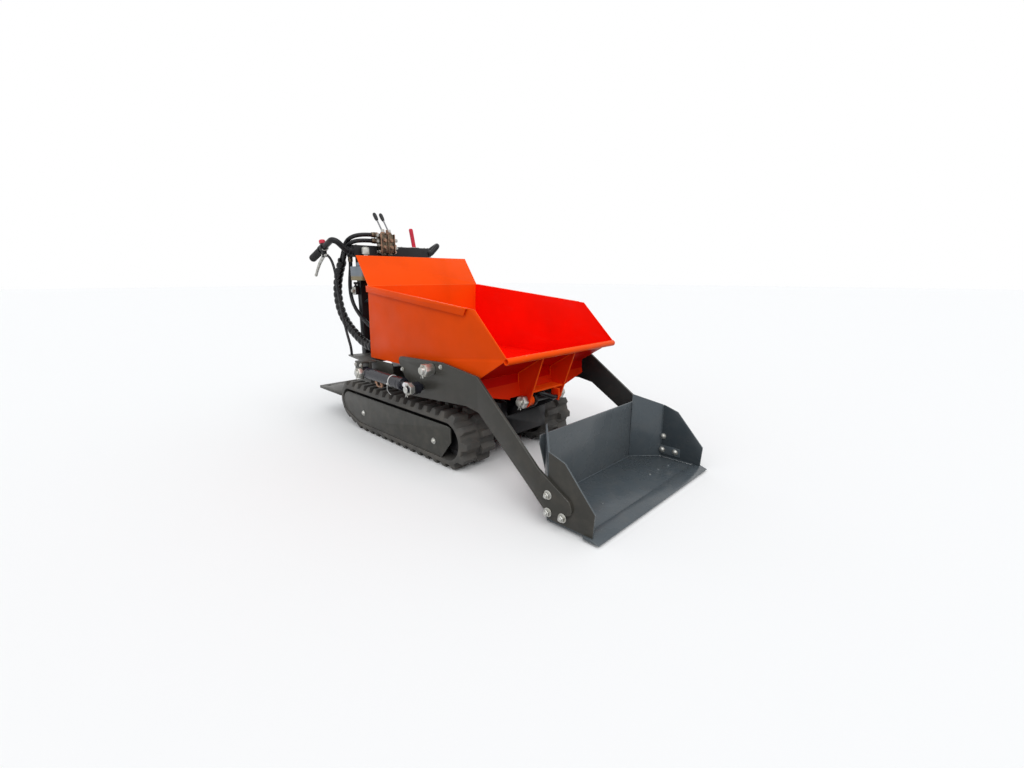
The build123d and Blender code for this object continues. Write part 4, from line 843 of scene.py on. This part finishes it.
for side, sign in SIDES:
    track = bare_copy(f"track_{side}")
    for edge, taper in ((TRACK_OUT, -11), (TRACK_IN, 9)):
        shift_points(
            track, lambda at: abs(abs(at.y) - edge) < 0.5 and above_belt(at.x, at.z) > LUG_FOOT, (0, sign * taper, 0),
        )
    paint(soften(track, 3.0, 2, 28), track_rubber)
    stands_for(track, f"track_{side}", 42)
    dressed(f"track_beam_{side}", frame_black, 1.5)
    dressed(f"track_wheels_{side}", cast_iron, 1.5)
    cover = bare_copy(f"track_cover_{side}")
    shift_points(cover, lambda at: at.z > COVER_MIDDLE, (0, 0, -COVER_DROP))
    # The cover's bevels take the same painted edge highlight.
    paint(cover, cover_grey).data.materials.append(arm_rim_painted_highlight_and_chips)
    stands_for(soften(cover, 1.4, 2, 32, 1), f"track_cover_{side}")
    fasten(dome, f"cover_bolts_{side}", [((x, sign * 343, z), (0, sign, 0)) for x, z in ((-474, 101), (124, 102))])
dressed("chassis_frame", frame_black, 2.0)
dressed("drive_gearbox", cast_iron, 2.0)
dressed("engine_deck", frame_black, 1.2)
dressed("rear_step", cover_grey, 1.6, arm_rim_painted_highlight_and_chips)
pivots = dressed("loader_pivot_frame", arm_grey, 1.2)
anchors = dressed("lift_anchor_beam", arm_grey, 1.2, arm_rim_painted_highlight_and_chips)
hinge = dressed("skip_hinge_bracket", frame_black, 1.2)
for piece, pin_from in ((pivots, 362), (anchors, 381), (hinge, 104)):
    paint(piece, zinc, lambda at, way: abs(at.y) > pin_from)
fasten(cotter, "pin_cotters", [
    ((x, sign * y, z), (0, 0, 1)) for side, sign in SIDES
    for x, y, z in ((161, 414, 422), (-335, 438, 343), (430, 136.5, 288))
], angle=40)
cheeks = []
for side, sign in SIDES:
    cheeks += [
        side_box("cheek", sign, (-384, -316), (410.6, 415.4), (314, 395)),
        side_box("cheek_flange", sign, (-384, -316), (374, 414), (388.5, 394.6), 1.2),
        side_box("inner_plate", sign, (-388, -170), (338, 343), (336, 397), 1.2),
    ]
fit("anchor_cheek_plates", cheeks, arm_grey)
fasten(small_bolt, "gusset_bolts", [
    ((x, sign * 415.2, z), (0, sign, 0)) for side, sign in SIDES for x, z in ((-374, 379), (-326, 379))
])
fasten(bolt, "step_bolts", [((-775, sign * y, 160), (0, 0, 1)) for side, sign in SIDES for y in (110, 270)])


# Hydraulic cylinders

LIFT_ANCHOR, LIFT_PIN, LIFT_Y = (-335, 343), (85, 336), 395
TIP_ANCHOR, TIP_PIN = (-80, 150), (285, 343)
EYE, EYE_FACE = [(-15, 23.5), (-13, 26), (13, 26), (15, 23.5)], 15.4
KNUCKLE = 31
DISC_FACE, TIE_AT = 414.6, 245


def ram(kind, side, anchor, pin, y, barrel_l, rod_in, pin_ends):
    """Barrel with its eye, gland and weld, and a chromed rod with its eye and pin, which starts inside the barrel."""
    name = kind + side
    start = Vector((anchor[0], y, anchor[1]))
    end = Vector((pin[0], y, pin[1]))
    lead = (end - start).normalized()
    reach = (end - start).length
    tube = turned(name + "_tube", [
        (33, 23), (34.5, 26.5), (37, 27.5), (44, 27.5), (45, 25.8), (barrel_l - 40, 25.8),
        (barrel_l - 39, 28), (barrel_l - 24, 28), (barrel_l - 23, 26.6), (barrel_l - 20, 26.6),
        (barrel_l - 19, 28), (barrel_l - 3, 28), (barrel_l, 25), (barrel_l, 18.5),
        (barrel_l + 2.5, 17.5), (barrel_l + 3, 15.3),
    ], 56, start, lead)
    neck = turned(name + "_neck", [(18, 13), (24, 15), (27, 19), (30, 17.5), (33.5, 20)], 40, start, lead)
    eye = turned(name + "_eye", EYE, 48, start, (0, 1, 0))
    barrel = paint(joined(name + "_barrel", [tube, neck, eye]), barrel_blue)
    stands_for(barrel, f"{kind}_barrel{side}", 30)
    shaft = turned(name + "_shaft", [
        (rod_in, 14), (rod_in + 1, 15), (reach - 28, 15), (reach - 27, 13.5),
    ], 40, start, lead)
    knuckle = turned(name + "_knuckle", [
        (reach - 30, 17), (reach - 28, 20), (reach - 18, 20), (reach - 12, 16),
    ], 40, start, lead)
    eye = turned(name + "_rod_eye", EYE, 48, end, (0, 1, 0))
    low, high = pin_ends
    bolt_pin = turned(name + "_pin", [(low, 13.5), (low + 1.5, 15), (high - 2, 15), (high, 13)], 32, end, (0, 1, 0))
    rod = paint(joined(name + "_rod", [shaft, knuckle, eye, bolt_pin]), chrome)
    paint(rod, barrel_blue, lambda at, way: (at - end).dot(lead) > -KNUCKLE and abs(at.y - end.y) <= EYE_FACE)
    paint(rod, zinc, lambda at, way: abs(at.y - end.y) > EYE_FACE)
    stands_for(rod, f"{kind}_rod{side}", 30)


for side, sign in SIDES:
    ram("lift", f"_{side}", LIFT_ANCHOR, LIFT_PIN, sign * LIFT_Y, 330, 81, sorted((sign * -31, sign * 51)))
    anchor_at = Vector((LIFT_ANCHOR[0], sign * LIFT_Y, LIFT_ANCHOR[1]))
    pin_at = Vector((LIFT_PIN[0], sign * LIFT_Y, LIFT_PIN[1]))
    lead = (pin_at - anchor_at).normalized()
    hardware = fit(f"lift_pin_hardware_{side}", [
        turned("lift_nut", [(15.2, 21), (16.5, 25.5), (37, 25.5), (39, 21.5)], 6, pin_at, (0, sign, 0)),
        turned("lift_disc", [(14.6, 27), (15.2, 28), (18.5, 28), (19, 27)], 40, pin_at, (0, sign, 0)),
        copies(cotter, "lift_cotter", [((LIFT_PIN[0], sign * 441, LIFT_PIN[1]), (0, 0, 1))]),
    ], zinc, 30, f"lift_rod_{side}")
    paint(hardware, frame_black, lambda at, way: abs(at.y) < DISC_FACE)
    y = sign * 399
    pipe = bent("lift_pipe", [
        (-218, y, 320), (-218, y, 309), (-216, y, 300), (-207, y, 297), (-196, y, 297), (-184, y, 297),
        (-175, y, 300), (-173, y, 309), (-173, y, 320),
    ], 11)
    nuts = [
        turned("lift_pipe_nut", [(-5, 10), (-4, 11), (8, 11), (9, 9.5)], 6, (x, y, z), (0, 0, -1))
        for x, z in ((-218, 317), (-173, 316))
    ]
    fit(f"lift_feed_pipe_{side}", [pipe, *nuts], copper, 35, f"lift_barrel_{side}")
    fit(f"barrel_tie_{side}", [
        ring("tie_band", 27.4, 25.0, 6, anchor_at + lead * TIE_AT, lead, 40, 0.4),
        side_box("tie_block", sign, (-94, -84), (419.5, 426), (326, 334), 1.0),
        bent("tie_tail", [
            (-89, sign * 423, 328), (-88, sign * 427, 310), (-84, sign * 424, 294), (-72, sign * 418, 283),
        ], 2.6),
    ], tie_white, 40, f"lift_barrel_{side}")
ram("tip", "", TIP_ANCHOR, TIP_PIN, 0, 320, 71, (-22, 22))


# Engine

dressed("engine_block", cast_alloy, 1.2)
dressed("engine_shroud", plastic_black, 1.5)
dressed("fuel_tank", plastic_black, 0)
dressed("muffler", pressed_steel, 0)
dressed("air_cleaner", plastic_black, 0)

VENT_IN, VENT_OUT, VENT_TURN = 34, 60, 7.5
STARTER = (-632, 0, 388)
PLUG = (-475, 0, 468)


def vent(at, way):
    """Every other panel of the starter cover's flat ring."""
    count = int(math.degrees(math.atan2(at.y, at.x)) // VENT_TURN)
    return way.z > 0.9 and VENT_IN < at.xy.length < VENT_OUT and count % 2 == 0


starter = turned("starter_cover", [
    (-1, 74), (2, 76), (12, 73), (17, 66), (18.5, VENT_OUT), (18.5, VENT_IN), (19.5, 32), (21, 25), (21.4, 8),
], 48)
pick_faces(starter, vent)
bpy.ops.mesh.inset(thickness=0.0012, use_individual=True)
bpy.ops.mesh.extrude_region_move(TRANSFORM_OT_translate={"value": (0, 0, -0.006)})
mode("OBJECT")
put(starter, STARTER, (-1, 0, 0))
mount(paint(starter, frame_black), "chassis", 32)
grip = turned("starter_grip", [
    (-30, 5), (-27, 8), (-10, 7.2), (0, 9), (10, 7.2), (27, 8), (30, 5),
], 24, (-664, 52, 428), (0, 1, 0.25))
rope = bent("starter_rope", [(-646, 52, 426), (-652, 52, 427), (-662, 52, 428)], 5)
fit("starter_handle", [grip, rope], grip_rubber, 40)
fasten(screw, "shroud_screws", [
    ((STARTER[0], 91 * math.cos(turn), STARTER[2] + 91 * math.sin(turn)), (-1, 0, 0)) for turn in (0.8, 2.35, 3.95, 5.5)
])
cap = turned("fuel_cap", [
    (0, 28.5), (3, 28.5), (4, 27), (17, 26.6), (20, 24), (20.6, 15), (19.6, 13),
], 22, (-520, 0, 598))
mount(paint(cap, grip_rubber), "chassis", 12)
guard = slotted("muffler_guard", 100, 62, 9, 1.4)
put(guard, (-525, 135, 458), turn=(90, 0, 0))
mount(paint(guard, pressed_steel), "chassis", 30)
feet = [side_box("guard_foot", 1, (x, x + 6), (128, 136), (452, 464), 0.6) for x in (-573, -483)]
fit("muffler_guard_feet", feet, pressed_steel, 30)
fit("cleaner_clamp", [
    side_box("cleaner_band", -1, (-582, -468), (92, 97), (420, 497), 2.5),
    turned("cleaner_knob", [(0, 9), (2, 12), (9, 11), (12, 7)], 12, (-525, -130, 458), (0, -1, 0)),
], frame_black, 30)
shell = turned("plug_shell", [(-3, 8), (8, 8), (9, 10), (17, 10), (18, 7)], 6, PLUG, (1, 0, 0))
core = turned("plug_core", [(17, 6), (26, 5.5), (34, 4.5), (38, 3.5)], 24, PLUG, (1, 0, 0))
plug = fit("spark_plug", [shell, core], zinc, 30)
paint(plug, porcelain, lambda at, way: at.x > PLUG[0] + 18)
boot = turned("plug_boot", [(28, 7.5), (30, 9), (46, 9), (52, 6)], 24, PLUG, (1, 0, 0))
lead_wire = bent("plug_lead", [
    (-426, 0, 468), (-416, 0, 466), (-412, 14, 452), (-416, 40, 432), (-432, 62, 418), (-448, 70, 414),
], 7)
fit("plug_wire", [boot, lead_wire], plastic_black, 40)
dip = turned("oil_filler", [(-2, 14), (6, 14), (7, 16), (15, 15.5), (18, 12)], 12, (-440, -62, 318), (1, 0, 0.3))
mount(paint(dip, plastic_black), "chassis", 15)
fasten(small_bolt, "engine_bolts", [
    ((x, sign * 88, 420), (0, 0, 1)) for side, sign in SIDES for x in (-574, -450)
] + [((-440, sign * 80, z), (1, 0, 0)) for side, sign in SIDES for z in (290, 405)])


# Controls

dressed("control_column", frame_black, 2.5)
dressed("console", plastic_black, 1.5)
dressed("hydraulic_tank", tank_grey, 3.0)
dressed("handlebars", frame_black, 0)

oil_cap = turned("oil_cap", [
    (0, 28.5), (2, 28.5), (3, 27.6), (16, 27), (20, 24), (20.5, 14),
], 20, (-600, -227.5, 835.2))
mount(paint(oil_cap, plastic_black), "chassis", 12)
BREATHER = (-628, -187, 834)
fit("tank_breather", [
    turned("breather_neck", [(0, 15), (4, 15), (5, 11), (62, 11), (64, 14)], 32, BREATHER),
    turned("breather_dome", [(63, 17), (65, 20), (90, 20), (96, 18), (100, 13), (102, 5)], 40, BREATHER),
], zinc, 30)
fit("tank_strut", [
    bent("tank_strut_bar", [(-664, -190, 648), (-640, -190, 660), (-600, -190, 676), (-556, -190, 694)], 13),
    boxed("tank_strut_hanger", (-563, -194, 684), (-547, -186, 766), 1.2),
], frame_black, 35)
tap = fit("tank_tap", [
    boxed("tap_body", (-714, -233, 690), (-674, -208, 732), 3.0, 3),
    turned("tap_stem", [
        (-1, 9), (5, 9), (6, 6), (12, 6), (13, 10), (22, 10.5), (24, 8),
    ], 24, (-694, -221, 732)),
    turned("tap_nut", [(-1, 10), (0, 12), (8, 12), (9, 9), (13, 9), (14, 7)], 6, (-694, -233, 710), (0, -1, 0)),
], plastic_black, 35)
paint(tap, zinc, lambda at, way: at.y < -232.8)

LEVER_X, LEVER_YS = -637.5, (-74, -36)
VALVE_NEAR, VALVE_FAR = -100, -12
TIE_NUT = [(0, 7), (1, 8), (7, 8), (8, 6)]
slices = []
for middle in LEVER_YS:
    slices += [
        boxed("spool_slice", (-657, middle - 17, 909), (-619, middle + 17, 1001), 3.0),
        turned("spool_cap_low", [(0, 13), (10, 13), (12, 11)], 28, (LEVER_X, middle, 909.5), (0, 0, -1)),
        turned("spool_cap_top", [(-1, 15), (8, 15), (10, 12), (14, 12)], 28, (LEVER_X, middle, 1001)),
    ]
for low, high in ((VALVE_NEAR, -92.5), (-56.5, -53.5), (-17.5, VALVE_FAR)):
    slices.append(boxed("valve_plate", (-660, low, 903), (-616, high, 1006), 2.0))
for x, z in ((-651, 914), (-625, 914), (-651, 992), (-625, 946)):
    for y, way in ((VALVE_NEAR, -1), (VALVE_FAR, 1)):
        slices.append(turned("tie_nut", TIE_NUT, 6, (x, y, z), (0, way, 0)))
for route in VALVE_ROUTES:
    slices.append(turned("spool_port", [
        (-20, 12), (-14, 12), (-13, 14.5), (-4, 14.5), (-3, 12), (0, 12),
    ], 6, route[0], (0, -1, 0)))
for middle in LEVER_YS:
    for z in (936, 972):
        slices.append(turned("spool_plug", [
            (-2, 11), (1, 11), (2, 9.5), (8, 9.5), (9.5, 8),
        ], 6, (-619, middle, z), (1, 0, 0)))
slices.append(turned("relief_body", [(-2, 9), (9, 9), (10, 7), (20, 7), (22, 5)], 6, (-626, -55, 1005)))
for z in (935, 975):
    slices.append(turned("end_fitting", [
        (-1, 10), (0, 12), (9, 12), (10, 9), (22, 9), (24, 7),
    ], 6, (-637, VALVE_FAR, z), (0, 1, 0)))
valve = paint(joined("spool_valve", slices), bronze)
paint(valve, zinc, lambda at, way: at.y < VALVE_NEAR - 0.2 or at.y > VALVE_FAR + 0.2)
paint(valve, copper, lambda at, way: at.x > -618.5 or at.z > 1007)
stands_for(valve, "valve_block", 30)

LEVER_LEAN = Vector((-79, 0, 103))
KNOB_FOOT, FORK_TOP = 1077, 1031
top = LEVER_LEAN.length
sticks = []
for middle in LEVER_YS:
    foot = (LEVER_X, middle, 1015)
    sticks += [
        boxed("lever_fork", (-646, middle - 7, 1012), (-629, middle + 7, 1030), 2.0),
        turned("lever_rod", [(6, 4.2), (88, 4.2)], 20, foot, LEVER_LEAN),
        turned("lever_knob", [
            (top - 50, 4.5), (top - 48, 7.2), (top - 38, 9.6), (top - 22, 10.4), (top - 8, 9.8), (top - 2, 7.0),
            (top, 2.5),
        ], 24, foot, LEVER_LEAN),
    ]
levers = paint(joined("spool_levers", sticks), lever_steel)
paint(levers, plastic_black, lambda at, way: at.z > KNOB_FOOT)
paint(levers, zinc, lambda at, way: at.z < FORK_TOP)
stands_for(levers, "valve_levers", 35)

dressed("drive_lever", red_plastic, 2.2, segments=3)
gate = boxed("lever_gate_plate", (-712, 122, 944.6), (-662, 172, 947.4), 0.8)
mount(paint(gate, zinc), "chassis")
fasten(screw, "console_screws", [((x, y, 945), (0, 0, 1)) for x in (-728, -672) for y in (-215, -20, 60, 215)])

BAR_Y = 330
GRIP_START, GRIP_END = Vector((-826, 0, 923)), Vector((-948, 0, 880))
RIB_PITCH = 9.0
grip_lead = (GRIP_END - GRIP_START).normalized()
grip_long = (GRIP_END - GRIP_START).length
rings = [(0.3, 17), (0.8, 22), (5, 22), (6.5, 18.6)]
place = 10.0
while place < grip_long - 20:
    rings += [(place, 18.6), (place + 1.2, 19.9), (place + 5.2, 19.9), (place + 6.4, 18.6)]
    place += RIB_PITCH
rings += [(grip_long - 9, 18.8), (grip_long - 8, 20), (grip_long - 3, 19.4), (grip_long, 15), (grip_long, 6)]
sleeves = [turned("grip", rings, 36, (-826, sign * BAR_Y, 923), grip_lead) for side, sign in SIDES]
stands_for(paint(joined("ribbed_grips", sleeves), grip_rubber), "handle_grips", 40)

BLADE_SWELL = (0.8, 1.0, 0.96, 0.88, 0.8, 0.74)
lever_parts = []
for side, sign in SIDES:
    y = sign * BAR_Y
    lever_parts += [
        ring("perch", 22, 15.3, 26, Vector((-802, y, 931.5)) - grip_lead * 13, grip_lead, 36, 1.5),
        boxed("perch_block", (-815, y - 11, 884), (-789, y + 11, 916), 3.0, 3),
        turned("perch_bolt", [(-14, 5), (-13, 6.5), (13, 6.5), (14, 5)], 6, (-802, y, 891.5), (0, 1, 0)),
        bent("lever_blade", [
            (-800, y, 892), (-822, y, 880), (-852, y, 862), (-884, y, 834), (-908, y, 808), (-922, y, 791),
        ], 18, 3, 5, lambda index: BLADE_SWELL[index]),
        turned("lever_ball", [
            (-8, 5), (-5, 7.4), (0, 8), (5, 7.4), (8, 5),
        ], 24, (-921, y, 793), (-14, 0, -17)),
        turned("adjuster", [
            (0, 8), (10, 8), (11, 6), (18, 6), (19, 7.4), (27, 7.4), (28, 6.6),
        ], 16, (-789, y, 892), (1, 0, 0)),
    ]


def on_perch(at, way):
    """The perch and its block, without the bolt's ends."""
    off = abs(abs(at.y) - BAR_Y)
    return -818 < at.x < -786 and at.z > 883 and off < 24 and not (at.z < 900 and off > 11.5)


hand_set = paint(joined("brake_hand_levers", lever_parts), zinc)
paint(hand_set, plastic_black, on_perch)
stands_for(hand_set, "hand_levers", 35)
STOP, STOP_LEAD = (-808, -BAR_Y, 943), (-0.2, 0, 1)
fit("stop_knob", [
    turned("stop_stem", [(0, 11), (3, 11), (4, 8), (14, 8)], 20, STOP, STOP_LEAD),
    turned("stop_button", [(9, 12), (10, 15.5), (20, 16.5), (27, 15), (30, 9)], 28, STOP, STOP_LEAD),
], red_plastic, 35)
fit("handlebar_sockets", [
    turned("socket", [
        (-2, 24), (0, 25), (6, 25), (8, 21), (22, 20), (24, 17),
    ], 36, (-680, sign * 235, 915), (0, sign, 0)) for side, sign in SIDES
], frame_black, 35)


# The fasteners' masters go

for master in (bolt, small_bolt, dome, screw, cotter):
    alone(master)
    bpy.ops.object.delete()
